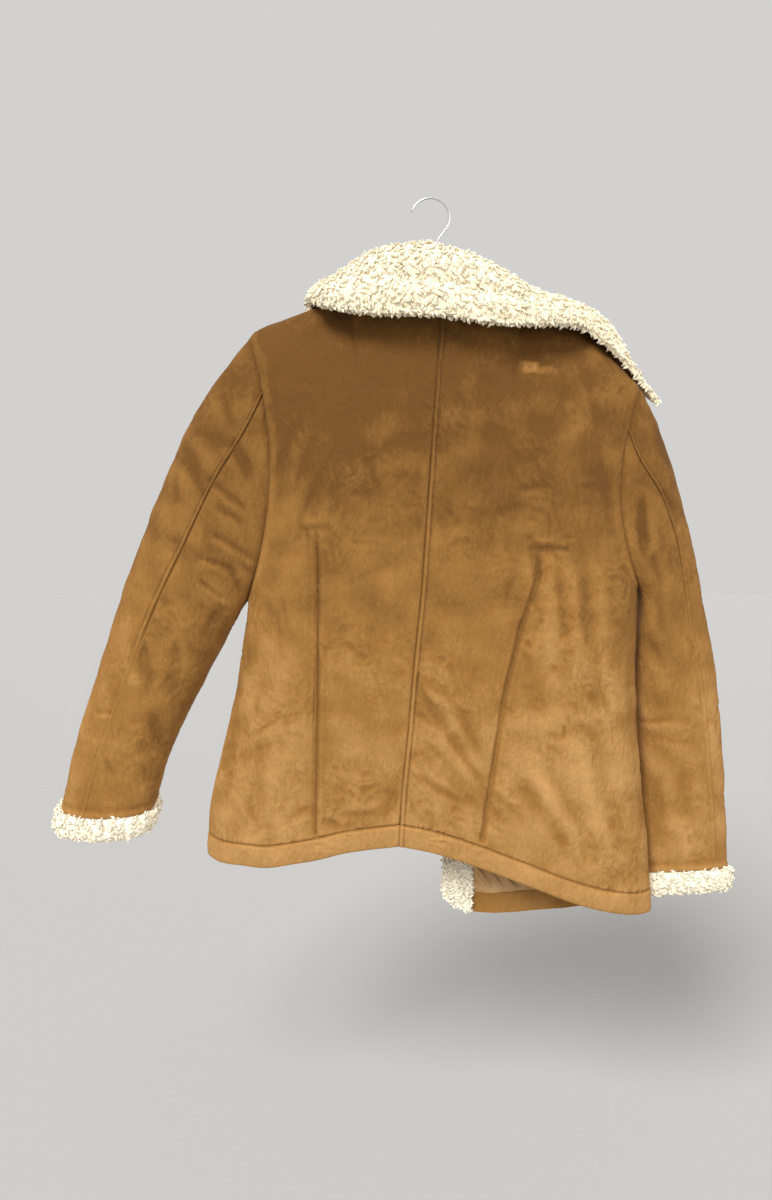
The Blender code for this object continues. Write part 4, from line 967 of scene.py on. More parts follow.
def with_lapel(grid, side, count):
    """Adds the strip beyond a front's roll line: the front edge below the break, the turned lapel above.

    A point at a distance from the roll line goes round an arc and on in a straight line, then eases back
    towards the front by 0.9 * rest^2. The lapel widens from the break to its top edge."""
    towards = 1.0 if side == "left" else -1.0
    roll = grid[:, -1]
    above = roll[:, 2] - ROLL[side][-2][1]
    rise = np.clip(above / (ROLL[side][-1][1] - ROLL[side][-2][1]), 0, 1)
    turn = np.clip((above + BREAK_BELOW) / (BREAK_ABOVE + BREAK_BELOW), 0, 1)
    turn = math.pi * turn ** 2 * (3 - 2 * turn)
    width = EDGE_WIDTH + (LAPEL_WIDTH - EDGE_WIDTH) * rise ** 0.8
    slope = LAPEL_DROP[side] * rise
    ahead = unit(np.stack([np.full_like(rise, towards), np.zeros_like(rise), slope], axis=-1))
    strips = []
    for share in np.linspace(0, 1, count + 1)[1:]:
        early = np.minimum(ROLL_R * turn, 0.6 * width)
        early = np.maximum(early, 0.4 * width * (1 - turn / math.pi))
        distance = np.where(share < 0.5, early * share * 2, early + (width - early) * (share * 2 - 1))
        angle = np.minimum(distance / ROLL_R, turn)
        rest = np.maximum(distance - ROLL_R * turn, 0)
        run = ROLL_R * np.sin(angle) + rest * np.cos(turn)
        height = ROLL_R * (1 - np.cos(angle)) + rest * np.sin(turn)
        ease = 0.9 * rest ** 2 * turn / math.pi
        strips.append(roll + ahead * run[:, None] + np.array((0.0, 1.0, 0.0)) * (height - ease)[:, None])
    return np.concatenate([grid, np.stack(strips, axis=1)], axis=1)


def round_corner(grid):
    """Rounds a front's lower corner: points of a square with side CORNER move into a quarter disc."""
    a, b = run_from(grid, 1, end=True), run_from(grid, 0)
    inside = (a < CORNER) & (b < CORNER)
    p, q = 1 - a / CORNER, 1 - b / CORNER
    pull = np.where(inside, 1 - np.maximum(p, q) / np.maximum(np.hypot(p, q), 1e-9), 0)
    inward = -unit(np.gradient(grid, axis=1))
    upward = unit(np.gradient(grid, axis=0))
    return grid + (inward * (pull * p)[..., None] + upward * (pull * q)[..., None]) * CORNER


front_grids = {}
front_skirt = even_count(spaced(0, (0.0026, 0.0330), (0.0046, skirt_length)) / skirt_length)[:-1]
strip_start = FRONT_NEAR_COLS + STRIP_COLS
for side, sign in (("left", -1), ("right", 1)):
    strip = strip_at(side)
    far = np.concatenate([np.linspace(0, strip, STRIP_COLS + 1)[1:], np.linspace(strip, 1, 11)[1:]])
    base = panel_grid(side, True, front_skirt, FRONT_ARM_ROWS, FRONT_NEAR_COLS, far)
    base = eased(base, len(front_skirt), 9, 25)
    roll_col = base.shape[1] - 1
    base = round_corner(with_lapel(base, side, LAPEL_COLS))
    front_grids[side] = (base, sign)
    normals = face_normals(base, sign)
    x, z = base[..., 0], base[..., 2]
    up, from_side = run_from(base, 0), run_from(base, 1)
    from_edge = run_from(base, 1, end=True)
    from_top = run_from(base, 0, end=True)
    body = (np.arange(base.shape[1]) <= roll_col)[None]
    calm = np.clip(np.minimum(np.minimum(from_side, from_edge), np.minimum(up, from_top)) / 0.008, 0, 1)
    relief = fine_wrinkles(base, 37, 1.0) * calm
    relief -= creases(x, z, FRONT_CREASES[side]) * calm * body * np.clip((up - 0.01) / 0.03, 0, 1)
    turned_up = np.clip(from_side / 0.01, 0, 1) * np.clip((from_edge - 0.03) / 0.01, 0, 1)
    relief += hem_relief(up, x, 41) * turned_up
    relief += sunk(from_edge - EDGE_STITCH, 0.0011, 0.0007) * np.clip(up / 0.01, 0, 1)
    above_pit = np.clip((z - base[len(front_skirt), :1, 2]) / 0.02, 0, 1)
    relief += above_pit * (sunk(from_side, 0.0016, 0.0010)
                           + 0.0011 * np.exp(-((from_side - 0.0045) / 0.0028) ** 2))
    made = base + normals * relief[..., None]
    inside = base - normals * (SUEDE_WALL - lowest(relief))[..., None]
    piece = closed_shell(f"{side}_front", made, inside, [suede, satin], sign < 0)
    # The nap field takes painted shade in the grooves and painted light on the ridges.
    add_field(piece, "nap", nap_and_shade_field(base, 59, NAP_PATCHES * (-1, 1, 1, 1, -1, 0.8)) - painted_groove_shade(relief))
    shown = face_normals(made, sign)
    stitch_where(made, shown, from_edge, EDGE_STITCH, np.arange(12, base.shape[0] - 1))
    stitch_where(made, shown, up, HEM_TURN, np.arange(2, strip_start), by_row=False)
    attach(piece, "root")
    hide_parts(f"front_{side}")

# --------------------------------------------------------------------------- the sherpa facings
# Teddy fleece: a lumpy ground with thousands of short curly tufts on it. The facings line both fronts'
# edges and lie uppermost on the turned lapels; the right one shows below the back's hem.
SEAM_GAP = 0.0003
FACING_BACK = SUEDE_WALL + SEAM_GAP
GROUND_HEIGHT = 0.0050
FACING_TUFTS = {"left": 480, "right": 600}
FACING_RIMS = (200, 0.003), (120, 0.001)       # tufts along each rim, and how far round its side they go
RIGHT_EXTRA, RIGHT_SEEN = 14, 0.085            # added weight of the rows where the right facing shows
SPREAD_STEPS = (0.7548776662, 0.5698402910)    # 1/1.32472 and its square spread places evenly on an area

sherpa, tree, shader = finish_of("sherpa", 1.0)
shader.inputs["Specular IOR Level"].default_value = 0.1
# Painted shade: the pile is coloured darker at the tufts' roots and in the ground's dips, lighter towards
# the tips and on the lumps.
PILE_SHADE, PILE_TIP, PILE_WHITE = (0.91, 0.78, 0.54), (0.94, 0.82, 0.58), (0.97, 0.91, 0.77)
light = mix_colour(tree, field_of(tree, "tone"), PILE_TIP, PILE_WHITE)
shaded_pile = mix_colour(tree, between(tree, field_of(tree, "tip"), 0.0, 0.60), PILE_SHADE, light)
blotch = between(tree, noise(tree, 35, 3, 0.5), 0.35, 0.65, 0.0, 0.14)
tree.links.new(mix_colour(tree, blotch, shaded_pile, PILE_TIP), shader.inputs["Base Color"])
strand = noise(tree, 1100, 3, 0.6, 0.6)
lump_bump = noise(tree, 330, 3, 0.6, 1.5)
tree.links.new(bumped(tree, [(lump_bump, 0.50, 0.0018), (strand, 0.40, 0.0005)]), shader.inputs["Normal"])


def clumps(points, seed):
    """Heights of the fleece's ground from -0.6 to 1: rounded lumps about 5 mm apart with narrow dips."""
    bent = points + 0.0016 * pushes(points, 0.012, seed)
    lumps = np.abs(waves(bent, 0.0105, seed + 3)) * 0.8 + np.abs(waves(bent, 0.0065, seed + 4)) * 0.5
    return np.clip(lumps, 0, 1.6) - 0.6


def fleece_ground(name, face, back, flip, height, seed, tone):
    """The fleece's backing and the lumpy ground of its pile, closed round its edges."""
    normals = face_normals(face, 1)
    towards_pile = np.sign((normals * (face - back)).sum(axis=-1).mean())
    lump = clumps(face, seed)
    made = face + normals * towards_pile * (lump * height)[..., None]
    piece = closed_shell(name, made, back, [sherpa], flip)
    # Painted shade: the ground is coloured darker in its dips.
    add_field(piece, "tip", 0.25 + 0.35 * lump)
    add_field(piece, "tone", np.full(lump.shape, tone))
    return piece


def scatter(grid, normals, count, seed, rows=None):
    """Places spread evenly over a grid's area, with the normal and the way its rows follow one another.

    rows weighs each row's share of the places."""
    rng = np.random.default_rng(seed)
    area = np.linalg.norm(np.cross(grid[1:, :-1] - grid[:-1, :-1], grid[:-1, 1:] - grid[:-1, :-1]), axis=-1)
    if rows is not None:
        area = area * rows[:-1, None]
    number = np.arange(count) + rng.random()
    u, v = ((number * step) % 1 for step in SPREAD_STEPS)
    down = np.concatenate([[0], np.cumsum(area.sum(axis=1))])
    row = np.interp(u * down[-1], down, np.arange(len(down)))
    across = np.cumsum(np.column_stack([np.zeros(len(area)), area]), axis=1)
    here = across[np.minimum(row.astype(int), len(area) - 1)]
    step = (here < (v * here[:, -1])[:, None]).sum(axis=1) - 1
    col = np.clip(step + rng.random(count), 0, area.shape[1] - 0.001)
    place, normal = on_grid(grid, row, col), unit(on_grid(normals, row, col))
    return place, normal, unit(on_grid(np.gradient(grid, axis=0), row, col))


STRANDS, STRAND_SPREAD = 4, 0.0015
TUFT_LEAN, TUFT_FALL = 0.70, (1.5, 2.3)      # radians away from the normal, at the root and at the tip
STRAND_TAPER = np.array((0.85, 1.0, 0.82, 0.22))
STRAND_SIDES = 3


def tufts(name, place, normal, lay, seed, tone, length=0.0066, radius=0.00100, stray=0.8):
    """Pointed tufts of curly pile, each a few strands that wind together towards its tip.

    A tuft's middle leans away from the normal by an angle that grows from TUFT_LEAN to TUFT_FALL along it,
    and each strand turns round that middle at a distance that narrows towards the tip."""
    rng = np.random.default_rng(seed)
    count = len(place)
    swing = rng.normal(0, stray, count)[:, None]
    side = np.cross(normal, lay)
    lay = unit(lay * np.cos(swing) + side * np.sin(swing))
    normal = unit(normal + 0.25 * rng.normal(size=(count, 3)))
    lay = unit(lay - normal * (lay * normal).sum(axis=1, keepdims=True))
    side = np.cross(normal, lay)
    t = np.linspace(0, 1, len(STRAND_TAPER))
    first, last = TUFT_LEAN + rng.normal(0, 0.2, count)[:, None], rng.uniform(*TUFT_FALL, count)[:, None]
    angle = first + (last - first) * t
    turn = (last - first)[..., None]
    reach = (length * rng.uniform(0.75, 1.2, count))[:, None, None]
    rise = (np.sin(angle) - np.sin(first))[..., None] / turn
    ahead = (np.cos(first) - np.cos(angle))[..., None] / turn
    path = place[:, None] + reach * (normal[:, None] * rise + lay[:, None] * ahead)
    inward = lay[:, None] * np.cos(angle)[..., None] - normal[:, None] * np.sin(angle)[..., None]
    across = np.broadcast_to(side[:, None], inward.shape)
    each = (count, STRANDS, 1)
    start = rng.uniform(0, 2 * math.pi, (count, 1)) + np.arange(STRANDS) * 2 * math.pi / STRANDS
    about = start[..., None] + rng.uniform(-3.0, 3.0, (count, 1, 1)) * t + rng.normal(0, 0.3, each)
    apart = STRAND_SPREAD * (1 - 0.80 * t) * rng.uniform(0.5, 1.15, each)
    middle = path[:, None] + (apart * np.cos(about))[..., None] * across[:, None] \
        + (apart * np.sin(about))[..., None] * inward[:, None]
    thick = radius * STRAND_TAPER * rng.uniform(0.7, 1.2, each)
    corner = np.radians(np.arange(STRAND_SIDES) * 360 / STRAND_SIDES)[:, None]
    outline = np.cos(corner) * across[:, None, :, None] + np.sin(corner) * inward[:, None, :, None]
    ring = middle[..., None, :] + thick[..., None, None] * outline
    number = np.arange(ring.size // 3).reshape(-1, len(t), STRAND_SIDES)
    after = np.roll(number, -1, axis=2)
    walls = np.stack([number[:, :-1], number[:, 1:], after[:, 1:], after[:, :-1]], axis=-1).reshape(-1, 4)
    caps = np.concatenate([number[:, 0], number[:, -1, ::-1]])
    piece = new_piece(name, ring, walls.tolist() + caps.tolist(), [sherpa])
    # Painted shade: each strand is coloured darker towards its root.
    add_field(piece, "tip", np.broadcast_to((0.30 + 0.70 * t)[:, None], ring.shape[:-1]))
    tones = tone + rng.normal(0, 0.16, (count, 1, 1, 1)) + rng.normal(0, 0.10, (*each, 1))
    add_field(piece, "tone", np.broadcast_to(np.clip(tones, 0, 1), ring.shape[:-1]))
    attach(piece, "root")
    return piece


RIM_BACK = 0.0035


def edge_of(grid, normals, count, thickness):
    """Places, normals and lays along a grid's last row, for tufts over its rim and by turns on its side."""
    along = np.linspace(0, grid.shape[1] - 1.002, count)
    row = np.full(count, grid.shape[0] - 1.002)
    place, out = on_grid(grid, row, along), unit(on_grid(normals, row, along))
    away = unit(on_grid(np.gradient(grid, axis=0), row, along))
    over = (np.arange(count) % 2 == 1)[:, None]
    place = place - np.where(over, away * RIM_BACK, out * thickness)
    return (place, unit(np.where(over, out + 0.8 * away, away)),
            unit(np.where(over, away, -out + 0.2 * away)))


for side in ("left", "right"):
    base, sign = front_grids[side]
    face, normals = base[:, strip_start:], face_normals(base, sign)[:, strip_start:]
    pile = face - normals * (FACING_BACK + GROUND_HEIGHT)
    # Painted light: the facings' fleece is given a whiter tone (0.95) than the collar's, so that it shows
    # bright where it lies in shade.
    ground = fleece_ground(f"{side}_facing", pile, face - normals * FACING_BACK, sign > 0, 0.0016, 43, 0.95)
    extra = RIGHT_EXTRA if side == "right" else 0
    seen = 1 + extra * np.clip((RIGHT_SEEN - run_from(pile, 0)[:, 0]) / 0.02, 0, 1)
    place, out, way = scatter(pile, -normals, FACING_TUFTS[side], 47, seen)
    edges, edge_normals = np.swapaxes(pile, 0, 1), -np.swapaxes(normals, 0, 1)
    rims = [edge_of(edges[::turn], edge_normals[::turn], *rim) for turn, rim in zip((1, -1), FACING_RIMS)]
    curls = tufts(f"{side}_facing_pile", *map(np.concatenate, zip((place, out, -way), *rims)), 49, 0.95,
                  length=0.0056, radius=0.0011, stray=1.2)
    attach(ground, "root")
    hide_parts(f"facing_{side}")

# --------------------------------------------------------------------------- hem facing and lining
# Inside the right front, where it shows below the back's hem: the suede turned up as a hem facing, and the
# satin lining above it, which bags a little in slanting folds.
HEM_FACING_HIGH, MIDDLE_COL, LINING_OUT = 0.0245, 40, 0.0010
base, sign = front_grids["right"]
normals = face_normals(base, sign)
hem_rows = int(np.argmax(run_from(base, 0)[:, MIDDLE_COL] > HEM_FACING_HIGH)) // 2 * 2 + 1
inside = slice(2, strip_start + 1)
cut = base[:hem_rows, inside]
cut_normals = normals[:hem_rows, inside]
facing_face = cut - cut_normals * (FACING_BACK + 0.0020 + 0.0006 * waves(cut, 0.03, 61)[..., None])
piece = closed_shell("right_hem_facing", facing_face, cut - cut_normals * FACING_BACK, [suede], sign > 0)
add_field(piece, "nap", nap_and_shade_field(cut, 97) - 0.1)
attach(piece, "root")
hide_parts("hem_facing_right")

# The lining's rows and columns lie closest together where its folds show.
rows = slice(hem_rows - 1, len(front_skirt) + 1)
close_rows = np.concatenate([np.linspace(0, 0.19, 61), np.linspace(0.19, 1, 21)[1:]])
close_columns = np.concatenate([np.linspace(0, 0.5, 41), np.linspace(0.5, 1, 101)[1:]])
up_share, across_share = np.meshgrid(close_rows, close_columns, indexing="ij")
cut = base[rows, inside]
where = up_share * (cut.shape[0] - 1), across_share * (cut.shape[1] - 1)
cut, cut_normals = on_grid(cut, *where), unit(on_grid(normals[rows, inside], *where))
LINING_FOLDS = np.array([  # from x, z to x, z, half width, depth of a trough (these are ridges)
    (0.036, -0.782, 0.062, -0.822, 0.0028, -0.0052), (0.050, -0.780, 0.078, -0.822, 0.0030, -0.0056),
    (0.066, -0.784, 0.094, -0.824, 0.0026, -0.0046), (0.080, -0.790, 0.112, -0.824, 0.0030, -0.0050),
    (0.100, -0.796, 0.132, -0.826, 0.0032, -0.0044), (0.120, -0.800, 0.160, -0.828, 0.0040, -0.0034),
    (0.060, -0.760, 0.110, -0.790, 0.006, -0.0030), (0.100, -0.780, 0.190, -0.740, 0.008, -0.0030),
    (0.150, -0.800, 0.230, -0.770, 0.008, -0.0024), (0.080, -0.720, 0.180, -0.680, 0.010, -0.0030),
    (0.100, -0.640, 0.220, -0.600, 0.012, -0.0030), (0.090, -0.560, 0.200, -0.530, 0.012, -0.0026),
])
slack = 0.0008 * (1 + waves(turned(cut, -35), 0.03, 67, (3, 1, 1)))
bag = (slack - creases(cut[..., 0], cut[..., 2], LINING_FOLDS)) * np.clip(run_from(cut, 0) / 0.005, 0, 1)
face = cut - cut_normals * (FACING_BACK + LINING_OUT + bag[..., None])
piece = closed_shell("right_lining", face, cut - cut_normals * FACING_BACK, [satin], sign > 0)
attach(piece, "root")
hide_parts("lining_right")

# --------------------------------------------------------------------------- the cuffs
# A band of the same fleece round each sleeve's end, with a rounded section. It is whiter than the collar.
CUFF_HEIGHT = 0.029
CUFF_SECTION = (  # out from the sleeve's end, and down as a share of the height
    (-0.0030, 0.01), (0.0010, 0.00), (0.0052, 0.11), (0.0066, 0.39), (0.0062, 0.74), (0.0025, 1.00),
    (-0.0020, 0.96), (-0.0036, 0.53),
)
CUFF_MIDDLE, CUFF_SHRINK = np.array((0.0012, 0.5)), (0.72, 0.90)    # the ground lies inside the section
CUFF_COLS, CUFF_ROWS, CUFF_LUMP, CUFF_TUFTS = 128, 32, 0.0011, 740


def looped(grid):
    """A grid that closes on itself both ways, with its first row and column repeated at the end."""
    grid = np.concatenate([grid, grid[:1]])
    return np.concatenate([grid, grid[:, :1]], axis=1)


for side in ("left", "right"):
    angle = signed(np.linspace(0, 360, RING_STEPS))
    rings = [sleeve_ring(side, share, np.radians(np.abs(angle)), angle < 0) for share in (1 - 1 / 12, 1.0)]
    run = run_along(rings[1])
    marks = np.linspace(0, run[-1], CUFF_COLS + 1)[:-1]
    before, end = (on_line(marks, run, ring) for ring in rings)
    along = unit((end - before).mean(axis=0))
    tangent = np.roll(end, -1, axis=0) - np.roll(end, 1, axis=0)
    out = unit(np.cross(tangent, along))
    out = out * np.sign(((end - end.mean(axis=0)) * out).sum())
    section = evenly(CUFF_SECTION + CUFF_SECTION[:1], np.linspace(0, 1, CUFF_ROWS + 1)[:-1])
    section = CUFF_MIDDLE + (section - CUFF_MIDDLE) * CUFF_SHRINK
    grid = end + out * section[:, None, :1] + along * (section[:, None, 1:] * CUFF_HEIGHT + SEAM_GAP)
    wrapped = np.concatenate([grid[-1:], grid, grid[:1]])
    wrapped = np.concatenate([wrapped[:, -1:], wrapped, wrapped[:, :1]], axis=1)
    facing_out = face_normals(wrapped, 1)[1:-1, 1:-1]
    facing_out = facing_out * np.sign(((grid - grid.mean(axis=0)) * facing_out).sum())
    lump = clumps(grid, 53)
    made = grid + facing_out * (CUFF_LUMP * lump)[..., None]
    number = np.arange(lump.size).reshape(lump.shape)
    a, b = number, np.roll(number, -1, axis=1)
    faces = np.stack([a, b, np.roll(b, -1, axis=0), np.roll(a, -1, axis=0)], axis=-1).reshape(-1, 4)
    if np.cross(made[0, 1] - made[0, 0], made[1, 0] - made[0, 0]) @ facing_out[0, 0] < 0:
        faces = faces[:, ::-1]
    piece = new_piece(f"{side}_cuff", made, faces.tolist(), [sherpa])
    # Painted shade: the cuff's ground is coloured darker in its dips.
    add_field(piece, "tip", 0.25 + 0.35 * lump)
    add_field(piece, "tone", np.full(lump.shape, 0.9))
    place, out, way = scatter(looped(made), looped(facing_out), CUFF_TUFTS, 55)
    curls = tufts(f"{side}_cuff_pile", place, out, way, 57, 0.92, length=0.0058, radius=0.0009, stray=1.8)
    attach(piece, "root")
    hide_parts(f"cuff_{side}")

# --------------------------------------------------------------------------- the collar
# The fleece collar stands up from the neckline, rolls over and falls on the back and the shoulders. It
# widens to a long point at the right. A shallow crease runs along the middle of the fall at the back, and
# below it the pile hangs over the edge like a fringe. Under it lies a plain suede under collar.
COLLAR = {
    "roll": ((-0.066, 0.056, -0.140), (-0.084, 0.034, -0.112), (-0.094, 0.004, -0.091),
             (-0.086, -0.032, -0.088), (-0.052, -0.049, -0.070), (0.004, -0.054, -0.067),
             (0.062, -0.049, -0.085), (0.099, -0.030, -0.104), (0.109, 0.004, -0.107),
             (0.106, 0.034, -0.120), (0.094, 0.058, -0.148)),
    "fall": ((-0.108, 0.068, -0.142), (-0.122, 0.042, -0.112), (-0.124, 0.002, -0.097),
             (-0.108, -0.050, -0.103), (-0.060, -0.067, -0.102), (0.006, -0.071, -0.102),
             (0.074, -0.068, -0.115), (0.128, -0.048, -0.123), (0.158, -0.018, -0.122),
             (0.192, 0.014, -0.137), (0.188, 0.046, -0.173)),
    "edge": ((-0.150, 0.062, -0.162), (-0.138, 0.034, -0.142), (-0.134, -0.006, -0.1095),
             (-0.116, -0.050, -0.122), (-0.063, -0.069, -0.134), (0.007, -0.073, -0.137),
             (0.077, -0.072, -0.147), (0.133, -0.056, -0.146), (0.169, -0.034, -0.149),
             (0.216, -0.014, -0.183), (0.258, -0.002, -0.228)),
}
NECK_STATIONS = (0.0, 0.2, 0.3, 0.4, 0.5, 0.6, 0.7, 0.8, 1.0)    # shares along it at the neck's points
COLLAR_LINES = (0.0, 0.16, 0.34, 0.66, 1.0)    # neck, a point of the stand, roll, fall and edge, as shares
COLLAR_ROWS, COLLAR_COLS, UNDER_ROWS = 57, 181, 53
NECK_ROWS, NECK_COLS = 12, 7
FALL_TUFTS, EDGE_TUFTS, STAND_TUFTS = 2070, (360, 0.0026), 560
UNDER_WALL = 0.002


def neck_points(side):
    """The back neckline from the neck point to the middle, and the end of the facing's inner edge."""
    back = panel_grid(side, False, np.zeros(1), NECK_ROWS, NECK_COLS, np.linspace(0, 1, 4)[1:])
    front = panel_grid(side, True, np.zeros(1), NECK_ROWS, NECK_COLS, np.array((strip_at(side), 1.0)))
    return back[-1, NECK_COLS:], front[-1, NECK_COLS + 1]


(left_neck, left_strip), (right_neck, right_strip) = neck_points("left"), neck_points("right")
necks = np.concatenate([left_strip[None], left_neck, right_neck[-2::-1], right_strip[None]])
necks = necks + np.array((0.0, 0.0, 0.0006))
collar_shares = np.linspace(0, 1, COLLAR_COLS)
neck = on_line(collar_shares, NECK_STATIONS, necks)
run = np.gradient(neck, axis=0)
inwards = unit(np.stack([-run[:, 1], run[:, 0], np.zeros(len(run))], axis=-1))
for _ in range(6):
    inwards[1:-1] = unit(inwards[:-2] + 2 * inwards[1:-1] + inwards[2:])
neck = neck + inwards * (UNDER_WALL + SEAM_GAP)
roll, fall, edge = (evenly(COLLAR[name], collar_shares) for name in ("roll", "fall", "edge"))
through = np.stack([neck, neck * 0.55 + roll * 0.45, roll, fall, edge])
collar_rows = np.linspace(0, 1, COLLAR_ROWS)
turned_grid = smooth(np.column_stack([COLLAR_LINES, through.reshape(len(through), -1)]), collar_rows)
turned_grid = turned_grid.reshape(COLLAR_ROWS, COLLAR_COLS, 3)
collar_normals = face_normals(turned_grid, -1)
collar_normals[0] = inwards
x = turned_grid[..., 0]
down = collar_rows[:, None]
crease = np.exp(-((down - 0.66 - 0.25 * (x - 0.02)) / 0.055) ** 2) \
    * np.clip((x + 0.075) / 0.04, 0, 1) * np.clip((0.125 - x) / 0.05, 0, 1)
thinner = np.exp(-(((x - 0.10) / 0.04) ** 2)) * (down < 0.8)
fuller = np.exp(-((down - 0.84) / 0.10) ** 2)
height = GROUND_HEIGHT - 0.0034 * crease - 0.0016 * thinner + 0.0012 * fuller
pile = turned_grid + collar_normals * height[..., None]
ground = fleece_ground("collar_fleece", pile, turned_grid + collar_normals * 0.0002, True, 0.0012, 71, 0.45)
on_fall = np.clip((collar_rows - 0.25) / 0.05, 0, 1)
place, out, way = scatter(pile, collar_normals, FALL_TUFTS, 73, on_fall + 0.02)
way = unit(way + np.array((0, 0, -0.35)))
rim = edge_of(pile, collar_normals, *EDGE_TUFTS)
fall_curls = tufts("collar_pile", *map(np.concatenate, zip((place, out, way), rim)), 75, 0.45)
place, out, way = scatter(pile, collar_normals, STAND_TUFTS, 77, 1.02 - on_fall)
stand_curls = tufts("collar_stand_pile", place, out, way, 79, 0.35, stray=1.4)
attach(ground, "root")
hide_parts("collar")

under_normals = collar_normals[:UNDER_ROWS:2, ::2]
upper = turned_grid[:UNDER_ROWS:2, ::2] - under_normals * SEAM_GAP
piece = closed_shell("collar_under_suede", upper - under_normals * UNDER_WALL, upper, [suede], False)
add_field(piece, "nap", nap_and_shade_field(upper, 101))
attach(piece, "root")
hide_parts("under_collar")

# --------------------------------------------------------------------------- topstitching
# Small brown stitches sunk in their grooves: beside the centre back seam and the sleeves' back seams, along
# the hems and down the fronts' edges.
STITCH, STITCH_STEP, STITCH_R = 0.0032, 0.0042, 0.00028
STITCH_RINGS = np.array([  # along as a share of the stitch, out and radius as shares of STITCH_R
    (-0.5, -0.7, 0.3), (-0.38, 0.25, 1.0), (0.38, 0.25, 1.0), (0.5, -0.7, 0.3),
])
STITCH_SIDES = 4
thread, tree, shader = finish_of("thread", 0.7)
shader.inputs["Base Color"].default_value = (0.235, 0.115, 0.032, 1)
places, ways, outs = [], [], []
for points, normals in stitch_lines:
    run = run_along(points)
    at = np.arange(STITCH_STEP, run[-1] - STITCH_STEP, STITCH_STEP)
    places.append(on_line(at, run, points))
    ways.append(unit(on_line(at + 0.001, run, points) - places[-1]))
    outs.append(unit(on_line(at, run, normals)))
places, ways, outs = (np.concatenate(rows)[:, None, None] for rows in (places, ways, outs))
sides = np.cross(ways, outs)
along, rise, radius = (STITCH_RINGS * (STITCH, STITCH_R, STITCH_R)).T[:, :, None, None]
angle = np.radians(np.arange(STITCH_SIDES) * 360 / STITCH_SIDES + 45)[:, None]
ring = places + ways * along + outs * rise + radius * (np.cos(angle) * sides + np.sin(angle) * outs)
number = np.arange(ring.size // 3).reshape(-1, len(STITCH_RINGS), STITCH_SIDES)
after = np.roll(number, -1, axis=2)
walls = np.stack([number[:, :-1], after[:, :-1], after[:, 1:], number[:, 1:]], axis=-1).reshape(-1, 4)
ends = np.concatenate([number[:, 0, ::-1], number[:, -1]])
piece = new_piece("topstitching", ring, walls.tolist() + ends.tolist(), [thread])
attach(piece, "root")

# --------------------------------------------------------------------------- the hanger
# A thin bright wire hanger: the hook, whose shank and the shoulders' end are twisted round each other under
# the collar, and the shoulder wire, which stays inside the jacket.
WIRE_R, HOOK_R = 0.00125, 0.0215
HOOK_ARC = (163, -42)
APEX = (0.004, 0.0, -0.0790)
HANGER_TILT = math.radians(2.9)
KNEE, TIP, CORNER_R = (0.030, -0.020), (0.2325, -0.0867), 0.010
TWIST_TOP, TWIST_END, TWIST_PITCH, TWIST_R = 0.022, -0.0004, 0.0075, 0.00118
HOOK_COUNT, TWIST_COUNT, WIRE_SIDES = 70, 64, 14

wire, tree, shader = finish_of("wire", 0.24, metallic=1.0)
shader.inputs["Base Color"].default_value = (0.72, 0.72, 0.71, 1)


def tilted(points):
    """Turns points given from the hanger's apex by the hanger's tilt."""
    x, z = np.asarray(points, float).T
    cos, sin = math.cos(HANGER_TILT), math.sin(HANGER_TILT)
    return np.stack([APEX[0] + x * cos + z * sin, np.zeros_like(x), APEX[2] - x * sin + z * cos], axis=-1)


def rounded(corners, radius, count):
    """A closed line with each of its corners turned round an arc."""
    corners = np.asarray(corners, float)
    points = []
    for before, here, after in zip(np.roll(corners, 1, axis=0), corners, np.roll(corners, -1, axis=0)):
        back, ahead = unit(before - here), unit(after - here)
        half = math.acos(float(np.clip(back @ ahead, -1, 1))) / 2
        start, end = here + back * radius / math.tan(half), here + ahead * radius / math.tan(half)
        middle = here + unit(back + ahead) * radius / math.sin(half)
        for share in np.linspace(0, 1, count):
            points.append(middle + unit(start + (end - start) * share - middle) * radius)
    return np.array(points)


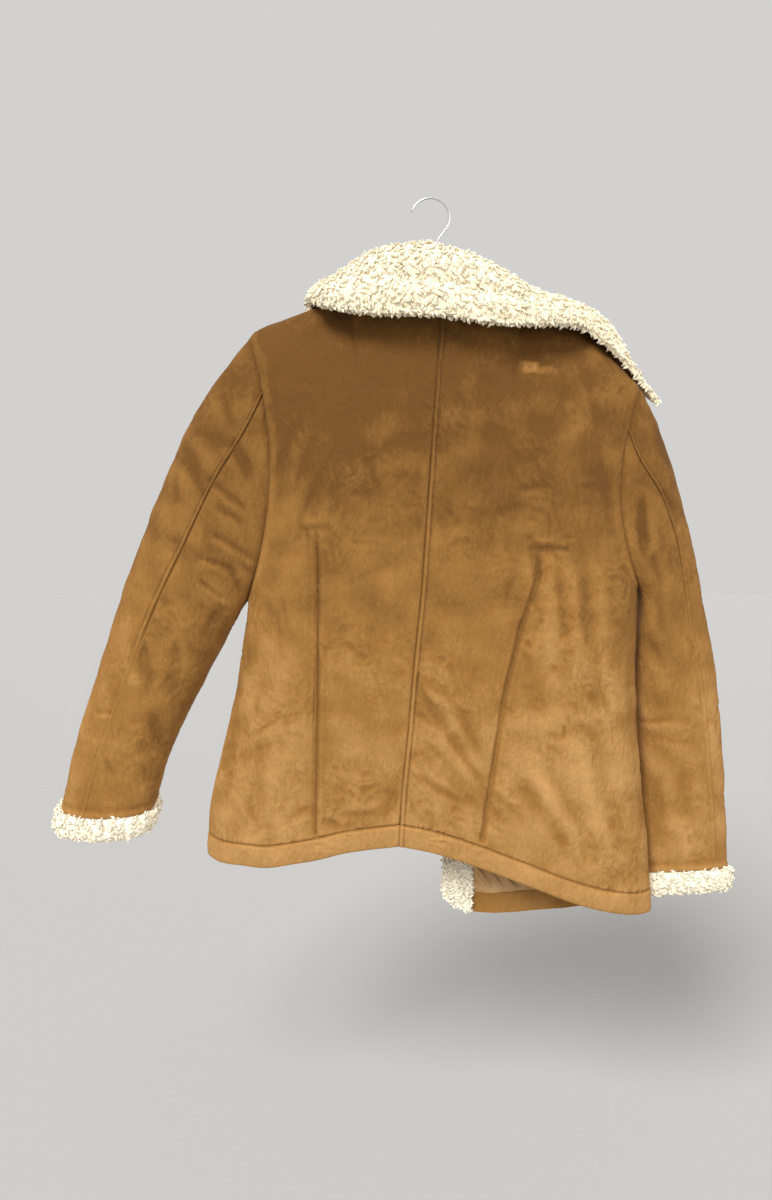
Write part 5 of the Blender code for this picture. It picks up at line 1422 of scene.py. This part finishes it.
def tube(path, radii, closed=False):
    """Points and faces of a wire along a path; its ends are rounded off by their radii."""
    path = np.asarray(path, float)
    step = np.roll(path, -1, axis=0) - np.roll(path, 1, axis=0) if closed else np.gradient(path, axis=0)
    tangent = unit(step)
    across = unit(np.cross(tangent, (0.0, 1.0, 0.05)))
    other = np.cross(tangent, across)
    angle = np.linspace(0, 2 * math.pi, WIRE_SIDES, endpoint=False)[None, :, None]
    radii = np.broadcast_to(radii, len(path))[:, None, None]
    rings = path[:, None] + radii * (np.cos(angle) * across[:, None] + np.sin(angle) * other[:, None])
    number = np.arange(len(path) * WIRE_SIDES).reshape(len(path), WIRE_SIDES)
    loop = np.vstack([number, number[:1]]) if closed else number
    after = np.roll(loop, -1, axis=1)
    faces = np.stack([loop[:-1], after[:-1], after[1:], loop[1:]], axis=-1).reshape(-1, 4).tolist()
    if not closed:
        faces += [number[0, ::-1].tolist(), number[-1].tolist()]
    return rings.reshape(-1, 3), faces


def wire_piece(name, node, parts):
    """One object from several tubes."""
    points, faces = [], []
    for part_points, part_faces in parts:
        first = sum(map(len, points))
        points.append(part_points)
        faces += [[first + k for k in face] for face in part_faces]
    piece = new_piece(name, np.concatenate(points), faces, [wire])
    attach(piece, "root")
    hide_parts(node)


round_angle = np.radians(np.linspace(*HOOK_ARC, HOOK_COUNT))
curve = np.stack([HOOK_R * np.cos(round_angle), np.zeros(HOOK_COUNT),
                  WIRE_R - HOOK_R + HOOK_R * np.sin(round_angle)], axis=-1)
bend, lead_end = tilted([(0.0035, TWIST_TOP + 0.014), (0.0, TWIST_TOP + 0.004)])
lead = evenly([curve[-1], bend, lead_end], np.linspace(0, 1, 24))[1:]
height = np.linspace(TWIST_TOP + 0.001, TWIST_END, TWIST_COUNT)
centre = tilted(np.stack([0 * height, height], axis=-1))
strands = []
for offset in (0.0, math.pi):
    phase = (TWIST_TOP - height) / TWIST_PITCH * 2 * math.pi + offset
    strands.append(centre + TWIST_R * np.stack([np.cos(phase), np.sin(phase), 0 * phase], axis=-1))
hook_path = np.concatenate([curve, lead, strands[0]])
end_round = np.minimum(1, np.sqrt(np.clip(np.arange(len(hook_path)) / 2 + 0.15, 0, 1)))
second = np.concatenate([strands[1][:1] + (0, 0, 0.0012), strands[1]])
second_radii = WIRE_R * np.concatenate([[0.35], np.full(len(strands[1]), 0.97)])
wire_piece("wire_hook", "hanger_hook", [tube(hook_path, WIRE_R * end_round), tube(second, second_radii)])
corners = tilted([(0.0, 0.0), (-KNEE[0], KNEE[1]), (-TIP[0], TIP[1]), TIP, KNEE])
wire_piece("wire_shoulders", "hanger_wire", [tube(rounded(corners, CORNER_R, 14), WIRE_R, closed=True)])
